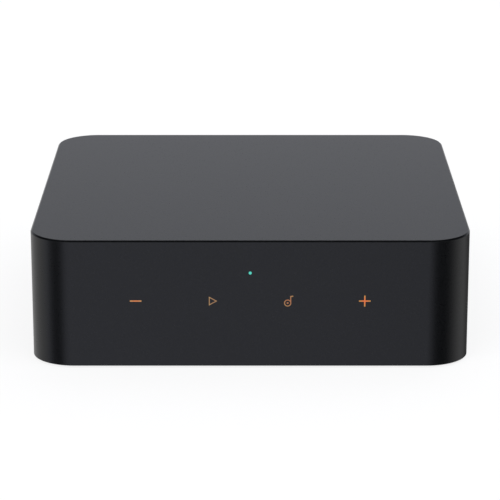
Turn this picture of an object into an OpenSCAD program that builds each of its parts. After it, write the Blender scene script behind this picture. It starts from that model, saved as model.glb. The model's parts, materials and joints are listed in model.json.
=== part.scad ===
// Network music streamer: a low square player with lit touch symbols on its front and a row of
// sockets along its back. A moulded shell and a bottom cover close around one main board.
// X runs to the right seen from the front, Y runs to the back and Z runs up from the table.

/* [Case] */
// Width of the case
case_w = 140; // [126:1:200]
// Depth of the case
case_d = 140; // [130:1:200]
// Height of the case above the table
case_h = 42; // [40:0.5:70]
// Radius of the upright corners
corner_r = 14; // [8:0.5:16]
// Thickness of the upright walls
wall = 2.4; // [1.8:0.1:3.2]
// Thickness of the roof
roof = 2.6; // [1.6:0.1:3.6]
// Flat cut along the upper edge
edge_cut = 0.5; // [0.3:0.1:1.5]

/* [Feet] */
// Diameter of a rubber foot
foot_d = 12; // [8:0.5:16]
// Height of the lower edge of the case above the table
foot_out = 0.6; // [0.4:0.1:4]
// Depth to which a foot sits in the bottom cover
foot_seat = 1; // [0.5:0.1:1.6]
// Distance from the case sides to the middle of a foot
foot_inset = 20; // [19:0.5:28]
// Bevel around the lower edge of a foot
foot_bevel = 0.3; // [0.1:0.05:0.4]

/* [Bottom cover] */
// Thickness of the bottom cover
cover_t = 2.4; // [2.2:0.1:4]
// Depth of the cover inside the lower edge of the case
cover_recess = 0.3; // [0.1:0.1:1]
// Gap around the cover
cover_gap = 0.15; // [0.1:0.05:0.3]
// Width of a vent slot
vent_w = 1.8; // [1:0.1:2.4]
// Length of a vent slot
vent_len = 26; // [10:1:30]
// Number of slots in each of the two vent groups
vent_count = 9; // [3:1:10]
// Distance from one vent slot to the next
vent_pitch = 4.2; // [3:0.1:4.4]
// Width of the bare shallow field under the cover
field_w = 70; // [40:1:80]
// Depth of that field from front to back
field_d = 30; // [15:1:40]
// Depth to which the field is sunk
field_cut = 0.3; // [0.1:0.1:0.6]

/* [Screws] */
// Diameter of a cover screw
cover_screw_d = 2.9; // [2.5:0.1:3.5]
// Length of a cover screw under its head
cover_screw_l = 12; // [8:0.5:20]
// Diameter of a cover screw's head
cover_head_d = 5.5; // [4.5:0.1:6]
// Height of a cover screw's head
cover_head_h = 1.4; // [1:0.1:1.6]
// Diameter of the posts that take the cover screws
boss_d = 7.4; // [6:0.1:8.4]
// Distance from the case sides to the middle of a post
boss_inset = 11; // [10.5:0.1:12]
// Diameter of a board screw
board_screw_d = 2.5; // [2:0.1:3]
// Length of a board screw under its head
board_screw_l = 5; // [4:0.5:6]
// Diameter of a board screw's head
board_head_d = 4.6; // [3.6:0.1:5.4]
// Height of a board screw's head
board_head_h = 1.5; // [1:0.1:2]
// Play around a screw in its hole
screw_play = 0.05; // [0.02:0.01:0.1]

/* [Front controls] */
// Distance from one symbol to the next
symbol_pitch = 24.1; // [18:0.1:27]
// Distance from the top of the case down to the middle of the symbols
symbol_drop = 19.8; // [18:0.05:22]
// Depth of a symbol's inlay
symbol_t = 0.6; // [0.3:0.1:0.8]
// Plastic left behind a symbol
symbol_skin = 0.6; // [0.4:0.1:0.9]
// Play around a symbol in its recess
symbol_play = 0.03; // [0.02:0.01:0.06]
// Width of the line of the play and note symbols
symbol_line = 0.3; // [0.25:0.01:0.45]
// Length of the bars of the minus and plus symbols
bar_len = 3.65; // [3:0.05:5]
// Thickness of the bars of the minus and plus symbols
bar_t = 0.42; // [0.4:0.02:0.9]
// Width of the play triangle
play_w = 2.65; // [2.2:0.05:4]
// Height of the play triangle
play_h = 3; // [2.4:0.1:4.4]
// Radius of the note's head
note_r = 1.14; // [1.1:0.02:1.6]
// Height of the whole note
note_h = 3.6; // [3.4:0.1:5]
// Radius of the dot in the note's head
note_dot_r = 0.3; // [0.2:0.02:0.45]
// Height of the status lamp above the symbols
status_rise = 9.25; // [7:0.05:11]
// Diameter of the status lens
status_d = 1; // [0.8:0.1:2]
// Depth of the light box between the wall and the touch board
light_t = 3.2; // [2.4:0.1:5]
// Side of the square light well behind each symbol
light_well = 6.4; // [6:0.1:8]
// Thickness of the touch board
touch_t = 1.6; // [1:0.1:2]
// Width of the ribbon cable
ribbon_w = 10; // [6:0.5:20]
// Thickness of the ribbon cable
ribbon_t = 0.3; // [0.2:0.05:0.4]

/* [Main board] */
// Height of the posts that carry the main board
standoff_h = 5; // [4:0.5:6]
// Diameter of those posts
standoff_d = 6; // [5:0.1:8]
// Thickness of the main board
board_t = 1.6; // [1:0.1:2]
// Space between the side walls and the main board
board_side = 13.6; // [13:0.1:15]
// Space between the touch board and the main board
board_ahead = 13.8; // [10:0.1:16]
// Side of the processor
chip_w = 15; // [10:0.5:24]
// Height of the processor
chip_h = 1.3; // [0.8:0.1:2.5]
// Thickness of the thermal pad
pad_t = 0.6; // [0.3:0.1:1]
// Side of the heat sink
sink_w = 38; // [32:1:42]
// Thickness of the heat sink's plate
sink_t = 2.4; // [1.6:0.1:4]
// Height of the heat sink's fins
fin_h = 9; // [4:0.5:11]
// Thickness of a fin
fin_t = 1.4; // [0.8:0.1:1.8]
// Number of fins
fin_count = 9; // [4:1:10]
// Diameter of the heat sink's push pins
pin_d = 3; // [2:0.1:3.4]
// Length of the wireless board
radio_w = 30; // [28:1:34]
// Depth of the wireless board
radio_d = 18; // [17:1:22]
// Thickness of the wireless board
radio_t = 1; // [0.6:0.1:1.6]
// Height of the wireless board's metal shield
radio_shield_h = 2.4; // [1.5:0.1:4]
// Length of a wall antenna
antenna_w = 36; // [20:1:44]
// Height of a wall antenna
antenna_h = 14; // [8:1:18]
// Thickness of a wall antenna
antenna_t = 0.4; // [0.2:0.1:0.8]
// Diameter of an antenna lead
lead_d = 1.2; // [0.8:0.1:1.3]
// Diameter of a capacitor
cap_d = 6.3; // [4:0.1:7.4]
// Height of a capacitor
cap_h = 7.7; // [5:0.1:12]

/* [Rear panel] */
// Depth of the panel's face inside the back of the case
panel_recess = 0.8; // [0.4:0.1:1.2]
// Height of the shell left above the panel
panel_head = 5; // [4:0.1:6]
// Gap around the panel and around each socket in it
panel_gap = 0.15; // [0.1:0.05:0.2]
// Thickness of the flange behind the wall
flange_t = 1.5; // [1:0.1:2]
// Width of the flange behind the wall
flange_lap = 1.2; // [0.8:0.1:1.6]
// Space between the phono blocks, as a multiple of the space between the other sockets
phono_share = 2; // [1:0.1:3]
// Width of the panel outside the outermost sockets, as a multiple of the same space
edge_share = 1.5; // [1:0.1:2]

/* [Phono sockets] */
// Width of a phono block
phono_w = 10; // [9.8:0.1:10.5]
// Depth of a phono block
phono_d = 14; // [13:0.5:16]
// Height of the lowest phono socket above the board
phono_low = 5.5; // [5.2:0.1:6]
// Distance between the two sockets of a block
phono_pitch = 13; // [11:0.1:13.5]
// Thickness of a block above its upper socket
phono_top = 5.4; // [4.8:0.1:5.6]
// Radius of the block's collar in the panel
collar_r = 4.7; // [4.5:0.05:4.75]
// Height of the collar in front of the panel
collar_out = 0.6; // [0.2:0.1:1.5]
// Radius of a plated barrel
barrel_r = 4.15; // [4:0.01:4.2]
// Wall of a plated barrel
barrel_t = 0.6; // [0.5:0.05:0.8]
// Step from a barrel's free part down to its shank
barrel_step = 0.3; // [0.2:0.05:0.35]
// Reach of a barrel behind the panel
barrel_out = 8.5; // [7:0.1:11]
// Depth of a barrel inside the panel
barrel_in = 11; // [6:0.5:12]
// Radius of the hole in a socket's centre contact
contact_r = 1.65; // [1.6:0.01:1.7]
// Wall of a centre contact
contact_t = 0.4; // [0.2:0.05:0.6]
// Play between the pieces of a phono socket
phono_play = 0.05; // [0.02:0.01:0.08]

/* [Optical sockets] */
// Width of the mouth
mouth_w = 8.8; // [8.6:0.1:9]
// Height of the mouth
mouth_h = 7.6; // [7:0.1:9]
// Height of the mouth above the board
mouth_low = 1.3; // [1:0.1:2]
// Thickness of the lip around the mouth
mouth_lip = 1; // [0.6:0.1:1.6]
// Thickness of the shutter
shutter_t = 0.9; // [0.6:0.1:1]
// Space around the shutter
shutter_play = 0.2; // [0.15:0.05:0.3]
// Radius of the shutter's trunnions
trunnion_r = 0.5; // [0.4:0.05:0.5]
// Play of the trunnions in their holes
trunnion_play = 0.05; // [0.02:0.01:0.08]
// Thickness of the housing's walls
optical_wall = 1; // [0.8:0.1:1.2]
// Depth of the light module behind the chamber
module_d = 5; // [3:0.5:7]
// Radius of the light module's nose
module_nose_r = 1.5; // [1:0.1:1.8]

/* [Ethernet socket] */
// Width of the ethernet shield
lan_w = 16; // [15.6:0.1:17]
// Height of the ethernet shield
lan_h = 13.4; // [13.2:0.1:16]
// Depth of the ethernet shield
lan_d = 21; // [18:0.5:24]
// Thickness of the shield's sheet metal
lan_sheet = 0.4; // [0.2:0.05:0.5]
// Width of the plug's way
plug_w = 11.9; // [11.7:0.1:12.2]
// Height of the plug's way
plug_h = 7; // [6.8:0.1:7.2]
// Depth of the plug's way
plug_d = 14; // [12:0.5:15]
// Width of the way for the plug's latch
latch_w = 6.2; // [6:0.1:7]
// Height of the way for the plug's latch
latch_h = 2.2; // [1.8:0.1:2.4]

/* [Small sockets] */
// Width of the power socket's shell
power_w = 8.94; // [8.6:0.02:9]
// Height of the power socket's shell
power_h = 3.26; // [3.16:0.02:3.6]
// Sheet thickness of the power socket's shell
power_t = 0.3; // [0.15:0.05:0.4]
// Depth of the power socket
power_d = 7.5; // [6.5:0.1:10]
// Width of the trigger jack's body
jack_w = 7.8; // [7:0.1:9]
// Height of the trigger jack's body
jack_h = 7; // [6.6:0.1:9]
// Depth of the trigger jack's body
jack_d = 14; // [13:0.5:16]
// Radius of the trigger jack's bore
jack_r = 1.8; // [1.75:0.01:1.85]
// Depth of the trigger jack's bore
jack_bore = 13.5; // [12:0.5:15]
// Radius of the trigger jack's neck
jack_neck_r = 3; // [2.6:0.1:3.2]
// Reach of the trigger jack's neck in front of the panel
jack_out = 0.7; // [0.2:0.1:2]
// Width of the reset switch
switch_w = 4.8; // [4.6:0.1:6]
// Height of the reset switch
switch_h = 7; // [6.4:0.1:9]
// Radius of the reset button
button_r = 1.25; // [1:0.05:1.4]
// Reach of the reset button in front of the panel
button_out = 0.8; // [0.6:0.1:2]
// Travel of the reset button
button_travel = 0.5; // [0.3:0.1:0.8]
// Play of the reset button in its neck
button_play = 0.05; // [0.02:0.01:0.08]

/* [Hidden] */
$fn = 64;

// Colours of the materials
shell_black = "#26272a";
panel_black = "#202124";
inner_black = "#2e2f33";
rubber_grey = "#3a3b3e";
symbol_orange = "#c8743c";
lamp_teal = "#67c7b9";
board_green = "#1f5a3c";
board_black = "#22262b";
steel_grey = "#a9adb2";
plated_grey = "#c4c7cb";
aluminium_grey = "#8f959c";
gold = "#cda94f";

// Spare reach of a cut past the face it opens
past = 1;

// Levels and faces of the case
rim_z = foot_out;
cover_z0 = rim_z + cover_recess;
cover_z1 = cover_z0 + cover_t;
roof_z = case_h - roof;
in_w = case_w - 2 * wall;
in_d = case_d - 2 * wall;
in_r = corner_r - wall;
front_out = -case_d / 2;
front_in = -in_d / 2;
rear_in = in_d / 2;

// Posts and feet, measured from the middle of the case
boss_x = case_w / 2 - boss_inset;
boss_y = case_d / 2 - boss_inset;
foot_x = case_w / 2 - foot_inset;
foot_y = case_d / 2 - foot_inset;
foot_play = 0.05;
web_t = 1.5;
web_low = cover_z1 + 4;

// Screw heads and their seats
head_bevel = 0.3;
head_play = 0.35;
head_sink = 0.2;
head_seat = cover_z0 + head_sink + cover_head_h;
cross_w = 0.6;
cross_len = 2.6;
cross_cut = 0.7;
pilot_end = 0.6;

// Rear panel and what holds its flange
panel_out = case_d / 2 - panel_recess;
panel_in = rear_in - flange_t;
panel_top = case_h - panel_head;
flange_top = panel_top + flange_lap;
rib_t = 1.5;
rib_gap = 0.1;
rib_lap = 1.6;
rib_short = 5;
rail_h = 2;

// Main board
board_z0 = cover_z1 + standoff_h;
board_z1 = board_z0 + board_t;
board_behind = 0.5;
board_rear = panel_in - board_behind;
touch_front = front_in + light_t;
touch_rear = touch_front + touch_t;
board_front = touch_rear + board_ahead;
board_w = in_w - 2 * board_side;
hole_side = 5;
hole_front = 5;
hole_rear = 21.6;
board_holes = [for (sx = [-1, 1], y = [board_front + hole_front, board_rear - hole_rear])
    [sx * (board_w / 2 - hole_side), y]];

// Symbols, light box and touch board
symbol_z = case_h - symbol_drop;
symbol_x = [for (i = [0:3]) (i - 1.5) * symbol_pitch];
status_z = symbol_z + status_rise;
status_well_r = 2.2;
lens_flange_r = 1.3;
lens_flange_t = 0.8;
light_rim = 2.3;
light_top = 0.8;
light_w = 3 * symbol_pitch + light_well + 2 * light_rim;
light_z0 = symbol_z - light_well / 2 - light_rim;
light_z1 = status_z + status_well_r + light_top;
touch_boss_d = 5.5;
touch_boss_gap = 1.6;
touch_boss_rise = 1.65;
touch_boss_x = light_w / 2 + touch_boss_d / 2 + touch_boss_gap;
touch_boss_z = symbol_z + touch_boss_rise;
touch_side = 4;
touch_below = 3.5;
touch_above = 1;
touch_w = 2 * (touch_boss_x + touch_side);
touch_z0 = light_z0 - touch_below;
touch_z1 = light_z1 + touch_above;
wall_well_room = 1.6;
wall_well = light_well + wall_well_room;
wall_well_t = wall - symbol_t - symbol_skin;
lamp_w = 1.6;
lamp_h = 0.8;
lamp_t = 0.7;

// Play symbol: set right of its place, so that it looks centred
play_shift = 0.33;

// Note symbol: stem inside the edge of the head, flag rising from its top
note_inset = 0.03;
note_shift = 0.23;
flag_w = 0.65;
flag_rise = 0.14;
flag_t = 0.38;
note_head_z = note_r - note_h / 2;
stem_x1 = note_r - note_inset - note_shift;
stem_x0 = stem_x1 - symbol_line;
stem_top = note_h / 2 - flag_rise - flag_t / 2;

// Ribbon cable from the touch board down to the main board
plug_side = 0.8;
plug_hold = 1.8;
slot_play = 0.1;
touch_socket_up = 0.8;
touch_socket_h = 3;
touch_socket_t = 2.2;
touch_socket_z = touch_z0 + touch_socket_up;
ribbon_y = touch_rear + touch_socket_t / 2;
main_socket_in = 2;
main_socket_d = 4;
main_socket_h = 2.4;
main_socket_y = board_front + main_socket_in;
ribbon_z = board_z1 + main_socket_h / 2;
ribbon_handle = 8;
ribbon_bend = [
    [ribbon_y, touch_socket_z],
    [ribbon_y, touch_socket_z - ribbon_handle],
    [main_socket_y - ribbon_handle, ribbon_z],
    [main_socket_y, ribbon_z]
];
ribbon_steps = 12;

// Processor, heat sink and its pins
chip_side = 34;
chip_x = board_w / 2 - chip_side;
chip_ahead = 60.6;
chip_y = board_rear - chip_ahead;
pad_z = board_z1 + chip_h;
sink_z0 = pad_z + pad_t;
sink_z1 = sink_z0 + sink_t;
pin_inset = 4;
pin_off = sink_w / 2 - pin_inset;
pin_play = 0.1;
pin_rim = 1.1;
pin_head_r = pin_d / 2 + pin_rim;
pin_head_h = 1;
pin_barb = 0.4;
pin_tail = 2;
fin_gap = 0.4;
fin_reach = pin_off - pin_head_r - fin_gap;

// Wireless board, antennas and their leads
radio_side = 13;
radio_x0 = radio_side - board_w / 2;
radio_in = 12;
radio_y0 = board_front + radio_in;
radio_z1 = board_z1 + radio_t;
radio_edge = 1;
radio_shield_w = 20;
radio_shield_d = radio_d - 2 * radio_edge;
radio_sheet = 0.3;
antenna_y = -20;
antenna_drop = 18;
antenna_z = case_h - antenna_drop;
lead_plug_r = 1.5;
lead_plug_h = 1.4;
lead_plug_in = 4;
lead_pitch = 6;
lead_gap = 0.1;
lead_z = radio_z1 + lead_plug_h / 2;
lead_x = radio_x0 + lead_plug_in;
lead_y = [radio_y0 + lead_pitch, radio_y0 + 2 * lead_pitch];
lead_end_x = in_w / 2 - antenna_t - lead_gap;
edge_x = board_w / 2;
lead_run = edge_x - lead_x;
left_lead = [
    [lead_x - 1, lead_y[1], lead_z],
    [lead_x - 5, lead_y[1], lead_z],
    [8 - edge_x, lead_y[1] + 1, lead_z],
    [-edge_x, lead_y[1] + 2, lead_z + 0.6],
    [-edge_x - 5, antenna_y - 2, lead_z + 3],
    [-edge_x - 10, antenna_y - 0.5, antenna_z - 5],
    [-lead_end_x, antenna_y, antenna_z - 4]
];
right_lead = [
    [lead_x - 1, lead_y[0], lead_z],
    [lead_x - 3.5, lead_y[0] - 1, lead_z],
    [lead_x - 5, lead_y[0] - 4, lead_z],
    [lead_x - 3, lead_y[0] - 7.5, lead_z],
    [lead_x + 3, lead_y[0] - 8.5, lead_z],
    [lead_x + 0.22 * lead_run, lead_y[0] - 8.5, lead_z],
    [lead_x + 0.44 * lead_run, lead_y[0] - 8.5, lead_z],
    [lead_x + 0.66 * lead_run, lead_y[0] - 8.5, lead_z],
    [lead_x + 0.82 * lead_run, lead_y[0] - 7.5, lead_z],
    [edge_x - 6, lead_y[0] - 4, lead_z],
    [edge_x, lead_y[0] + 2, lead_z + 0.6],
    [edge_x + 5, antenna_y - 4, lead_z + 3],
    [edge_x + 10, antenna_y - 0.8, antenna_z - 5],
    [lead_end_x, antenna_y, antenna_z - 4]
];
lead_steps = 3;
lead_sides = 8;

// Vent groups and the bare field in the cover
vent_x = 25;
vent_ahead = 35.6;
vent_y = board_rear - vent_ahead;
field_y = -20;

// Optical socket, measured from its own front, the board and its middle
optical_out = 0.4;
optical_front = panel_out + optical_out;
shutter_lap = 0.25;
shutter_edge = 0.25;
knuckle_step = 0.05;
knuckle_r = trunnion_r + knuckle_step;
pivot_y = -(mouth_lip + shutter_play + shutter_t / 2);
pivot_z = mouth_low + mouth_h + knuckle_r + shutter_play;
shutter_w = mouth_w + 2 * shutter_lap;
shutter_low = mouth_low - shutter_play;
chamber_w = shutter_w + 2 * shutter_edge;
chamber_z0 = shutter_low - shutter_play;
chamber_z1 = pivot_z + knuckle_r + shutter_play;
chamber_d = pivot_z - shutter_low - pivot_y + 2 * shutter_play;
trunnion_len = 0.8;
trunnion_end = 0.1;
trunnion_skin = 0.4;
trunnion_x = chamber_w / 2 + trunnion_len;
optical_w = 2 * (trunnion_x + trunnion_end + trunnion_skin);
optical_h = chamber_z1 + optical_wall;
optical_d = chamber_d + optical_wall + module_d;
module_side = 0.5;
module_w = chamber_w - 2 * module_side;
module_play = 0.05;
module_nose_out = 0.7;
module_nose = optical_wall + module_nose_out;
module_z = mouth_low + mouth_h / 2;

// Ethernet socket, measured the same way
lan_out = 0.5;
lan_front = panel_out + lan_out;
lan_play = 0.05;
lan_roof = 2.8;
plug_z1 = lan_h - lan_roof;
plug_z0 = plug_z1 - plug_h;
latch_z0 = plug_z0 - latch_h;
lan_mouth = 0.25;
lan_lamp_w = 3;
lan_lamp_h = 1.4;
lan_lamp_d = 3;
lan_lamp_x = 5;
lan_lamp_drop = 1.4;
lan_lamp_z = lan_h - lan_lamp_drop;
contact_count = 8;
contact_pitch = 1.02;
contact_w = 0.45;
contact_drop = 2;
contact_sheet = 0.3;
contact_y0 = -1.5;
contact_y1 = -10.5;

// Power socket
power_in = 0.1;
power_up = 0.17;
power_front = panel_out - power_in;
power_z = board_z1 + power_h / 2 + power_up;
power_back = 0.4;
power_leg_w = 1.2;
power_leg_in = 0.1;
tongue_w = 6.7;
tongue_t = 0.7;
tongue_base = 1.1;
tongue_in = 0.8;
tongue_play = 0.03;

// Trigger jack and reset switch
jack_gap = 0.05;
jack_z = board_z1 + jack_h / 2;
jack_body_y = panel_in - jack_gap;
button_up = 3.5;
button_z = board_z1 + button_up;
button_rim = 0.55;
button_head_r = button_r + button_rim;
button_head_t = 1.4;
switch_neck = 1.1;
switch_rest = 0.1;
switch_room = 0.2;
switch_spare = 0.8;
switch_wall = 2;
switch_gap = 2.6;
switch_y1 = panel_in - switch_gap;
switch_hollow_y1 = switch_y1 - switch_neck;
button_head_y1 = switch_hollow_y1 - switch_rest;
button_head_y0 = button_head_y1 - button_head_t;
switch_hollow_y0 = button_head_y0 - button_travel - switch_spare;
switch_y0 = switch_hollow_y0 - switch_wall;

// Row of sockets from left to right, seen from the front
function total(list, count) = count > 0 ? list[count - 1] + total(list, count - 1) : 0;
sockets_w = 3 * phono_w + 2 * optical_w + jack_w + switch_w + lan_w + power_w;
corner_land = 0.455;
panel_w = case_w - 2 * (corner_r + corner_land);
port_gap = (panel_w - sockets_w) / (3 * phono_share + 6 + 2 * edge_share);
bays_w = panel_w - 2 * edge_share * port_gap;
phono_bay = phono_w + phono_share * port_gap;
bays = [
    phono_bay, phono_bay, phono_bay, optical_w + port_gap, optical_w + port_gap,
    jack_w + port_gap, switch_w + port_gap, lan_w + port_gap, power_w + port_gap
];
bay_x = [for (i = [0:len(bays) - 1]) total(bays, i) + (bays[i] - bays_w) / 2];
line_in_x = bay_x[0];
line_out_x = bay_x[1];
coax_x = bay_x[2];
optical_out_x = bay_x[3];
optical_in_x = bay_x[4];
jack_x = bay_x[5];
reset_x = bay_x[6];
lan_x = bay_x[7];
power_x = bay_x[8];
rib_w = panel_w - 2 * rib_short;

// Audio parts and the ethernet transformer on the main board
converter_w = 9;
converter_h = 1.2;
converter_x = line_out_x;
converter_ahead = 41.6;
converter_y = board_rear - converter_ahead;
cap_x = (line_out_x + coax_x) / 2;
cap_ahead = 23.6;
cap_y = board_rear - cap_ahead;
cap_pitch = 8;
cap_base_h = 1;
cap_bevel = 0.4;
transformer_w = 15;
transformer_d = 10;
transformer_h = 6;
transformer_ahead = 25.6;
transformer_y = board_rear - transformer_ahead;

// Phono sockets: places of all five, lower one first
phono_z = [board_z1 + phono_low, board_z1 + phono_low + phono_pitch];
phono_places = [
    [line_in_x, phono_z[0]], [line_in_x, phono_z[1]],
    [line_out_x, phono_z[0]], [line_out_x, phono_z[1]],
    [coax_x, phono_z[0]]
];
barrel_y0 = panel_out - barrel_in;
barrel_y1 = panel_out + barrel_out;
collar_y = panel_out + collar_out;
shank_r = barrel_r - barrel_step;
insert_r = barrel_r - barrel_t - phono_play;
insert_in = 0.4;
contact_in = 1.6;
contact_deep = 6;
contact_y = panel_out - contact_deep;

// Shift that puts the origin under the middle of the case and its barrels together
case_y = (case_d / 2 - barrel_y1) / 2;

// Everything is drawn around the middle of the case and put in place by this
module placed() {
    translate([0, case_y, 0])
        children();
}

// Box given by its range along each axis
module slab(x, y, z) {
    translate([x[0], y[0], z[0]])
        cube([x[1] - x[0], y[1] - y[0], z[1] - z[0]]);
}

// Upright cylinder between two levels
module post(r, z0, z1) {
    translate([0, 0, z0])
        cylinder(r = r, h = z1 - z0);
}

// Cylinder along X
module x_rod(r, x0, x1) {
    translate([x0, 0, 0])
        rotate([0, 90, 0])
            cylinder(r = r, h = x1 - x0);
}

// Cylinder along Y
module y_rod(r, y0, y1) {
    translate([0, y0, 0])
        rotate([-90, 0, 0])
            cylinder(r = r, h = y1 - y0);
}

// Outline in Y and Z, run along X
module x_prism(x0, x1) {
    translate([x0, 0, 0])
        rotate([90, 0, 90])
            linear_extrude(x1 - x0)
                children();
}

// Outline in X and Z, run along Y
module y_prism(y0, y1) {
    translate([0, y1, 0])
        rotate([90, 0, 0])
            linear_extrude(y1 - y0)
                children();
}

// Upright prism between two levels
module z_prism(z0, z1) {
    translate([0, 0, z0])
        linear_extrude(z1 - z0)
            children();
}

// Four mirrored copies, with their own X and Y pointing out of the corner
module at_corners(x, y) {
    for (sx = [0, 1], sy = [0, 1])
        mirror([sx, 0, 0])
            mirror([0, sy, 0])
                translate([x, y, 0])
                    children();
}

// Middle of one of the four corners, counted from the right rear one round to the left
function corner(k, x, y) = [k == 0 || k == 3 ? x : -x, k < 2 ? y : -y, 0];

// Rectangle with round corners, its sectors edge to edge with its straight parts
module round_plan(w, d, r) {
    square([w - 2 * r, d], center = true);
    for (s = [-1, 1])
        translate([s * (w - r) / 2, 0])
            square([r, d - 2 * r], center = true);
    for (k = [0:3])
        translate(corner(k, w / 2 - r, d / 2 - r))
            rotate(90 * k)
                intersection() {
                    circle(r);
                    square(r);
                }
}

// Oblong with half round ends
module oblong(w, h) {
    square([w - h, h], center = true);
    for (k = [0, 1])
        rotate(180 * k)
            translate([(w - h) / 2, 0])
                intersection() {
                    circle(h / 2);
                    translate([0, -h / 2])
                        square([h / 2, h]);
                }
}

// Half section of the case: foot of the wall, the cut at its top, the roof
function cut_section(reach, z0, z1, cut) =
    [[0, z0], [reach, z0], [reach, z1 - cut], [reach - cut, z1], [0, z1]];

// Upright block with round corners and a flat cut along its upper edge
module cut_block(w, d, r, z0, z1, cut) {
    for (k = [0, 1])
        rotate(180 * k) {
            x_prism(r - w / 2, w / 2 - r)
                polygon(cut_section(d / 2, z0, z1, cut));
            translate([w / 2 - r, 0, 0])
                y_prism(r - d / 2, d / 2 - r)
                    polygon(cut_section(r, z0, z1, cut));
        }
    for (k = [0:3])
        translate(corner(k, w / 2 - r, d / 2 - r))
            rotate(90 * k)
                rotate_extrude(angle = 90)
                    polygon(cut_section(r, z0, z1, cut));
}

// Screw with its point up and its head's seat at level 0
module screw(d, l, head_d, head_h) {
    difference() {
        rotate_extrude()
            polygon([
                [0, -head_h], [head_d / 2 - head_bevel, -head_h], [head_d / 2, head_bevel - head_h],
                [head_d / 2, 0], [d / 2, 0], [d / 2, l - d / 4], [d / 4, l], [0, l]
            ]);
        for (a = [0, 90])
            rotate(a)
                slab([-cross_len / 2, cross_len / 2], [-cross_w / 2, cross_w / 2],
                    [-head_h - past, cross_cut - head_h]);
    }
}

// Minus sign
module minus_shape(grow) {
    square([bar_len + 2 * grow, bar_t + 2 * grow], center = true);
}

// Plus sign
module plus_shape(grow) {
    minus_shape(grow);
    rotate(90)
        minus_shape(grow);
}

// Triangle that points right, with its sides moved out by a distance
function arrow(out) =
    let (side = norm([play_w, play_h / 2]),
        tip = play_w / 2 + 2 * out * side / play_h,
        rise = play_h / 2 + out * side / play_w + out * play_h / (2 * play_w))
    [[-play_w / 2 - out, -rise], [tip, 0], [-play_w / 2 - out, rise]];

// Play symbol, drawn as a line
module play_shape(grow) {
    translate([play_shift, 0])
        difference() {
            polygon(arrow(grow));
            polygon(arrow(-symbol_line - grow));
        }
}

// Musical note: a ring with a dot in it, a stem and a flag
module note_shape(grow) {
    translate([-note_shift, note_head_z])
        circle(note_dot_r + grow);
    difference() {
        union() {
            translate([-note_shift, note_head_z])
                circle(note_r + grow);
            translate([stem_x0 - grow, note_head_z])
                square([symbol_line + 2 * grow, stem_top - note_head_z]);
        }
        translate([-note_shift, note_head_z])
            circle(note_r - symbol_line - grow);
    }
    polygon([
        [stem_x0 - grow, stem_top - flag_t / 2 - grow], [stem_x1 + flag_w + grow, note_h / 2 - flag_t - grow],
        [stem_x1 + flag_w + grow, note_h / 2 + grow], [stem_x0 - grow, stem_top + flag_t / 2 + grow]
    ]);
}

// One of the four symbols, counted from the left
module symbol_shape(i, grow) {
    if (i == 0)
        minus_shape(grow);
    if (i == 1)
        play_shape(grow);
    if (i == 2)
        note_shape(grow);
    if (i == 3)
        plus_shape(grow);
}

// Symbol filling its recess in the front wall
module symbol_inlay(i) {
    color(symbol_orange)
        placed()
            translate([symbol_x[i], 0, symbol_z])
                y_prism(front_out, front_out + symbol_t)
                    symbol_shape(i, 0);
}

// Recesses, wells and holes in the front wall
module front_cuts() {
    for (i = [0:3])
        translate([symbol_x[i], 0, symbol_z]) {
            y_prism(front_out - past, front_out + symbol_t)
                symbol_shape(i, symbol_play);
            y_prism(front_in - wall_well_t, front_in + past)
                square(wall_well, center = true);
        }
    translate([0, 0, status_z])
        y_rod(status_d / 2 + symbol_play, front_out - past, front_in + past);
}

// Posts for the cover screws, with webs that tie them to the walls
module cover_posts() {
    at_corners(boss_x, boss_y)
        post(boss_d / 2, cover_z1, roof_z + roof / 2);
    intersection() {
        at_corners(boss_x, boss_y) {
            slab([0, boss_inset], [-web_t / 2, web_t / 2], [web_low, roof_z + roof / 2]);
            slab([-web_t / 2, web_t / 2], [0, boss_inset], [web_low, roof_z + roof / 2]);
        }
        z_prism(0, case_h)
            round_plan(case_w - wall, case_d - wall, corner_r - wall / 2);
    }
}

// Posts behind the front wall that carry the touch board
module touch_posts(r, y0, y1) {
    for (s = [-1, 1])
        translate([s * touch_boss_x, 0, touch_boss_z])
            y_rod(r, y0, y1);
}

// Roof and four walls in one moulding, open below and cut out at the back for the panel
module upper_shell() {
    color(shell_black)
        placed()
            difference() {
                union() {
                    difference() {
                        cut_block(case_w, case_d, corner_r, rim_z, case_h, edge_cut);
                        z_prism(rim_z - past, roof_z)
                            round_plan(in_w, in_d, in_r);
                        slab([-panel_w / 2, panel_w / 2], [rear_in - wall, case_d / 2 + past],
                            [rim_z - past, panel_top]);
                        front_cuts();
                    }
                    cover_posts();
                    touch_posts(touch_boss_d / 2, front_in - wall / 2, touch_front);
                    slab([-rib_w / 2, rib_w / 2], [panel_in - rib_gap - rib_t, panel_in - rib_gap],
                        [flange_top - rib_lap, roof_z + roof / 2]);
                }
                at_corners(boss_x, boss_y)
                    post(cover_screw_d / 2 + screw_play, cover_z1 - past, head_seat + cover_screw_l + pilot_end);
                touch_posts(board_screw_d / 2 + screw_play,
                    touch_rear - board_screw_l - pilot_end / 2, touch_front + past);
            }
}

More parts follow.
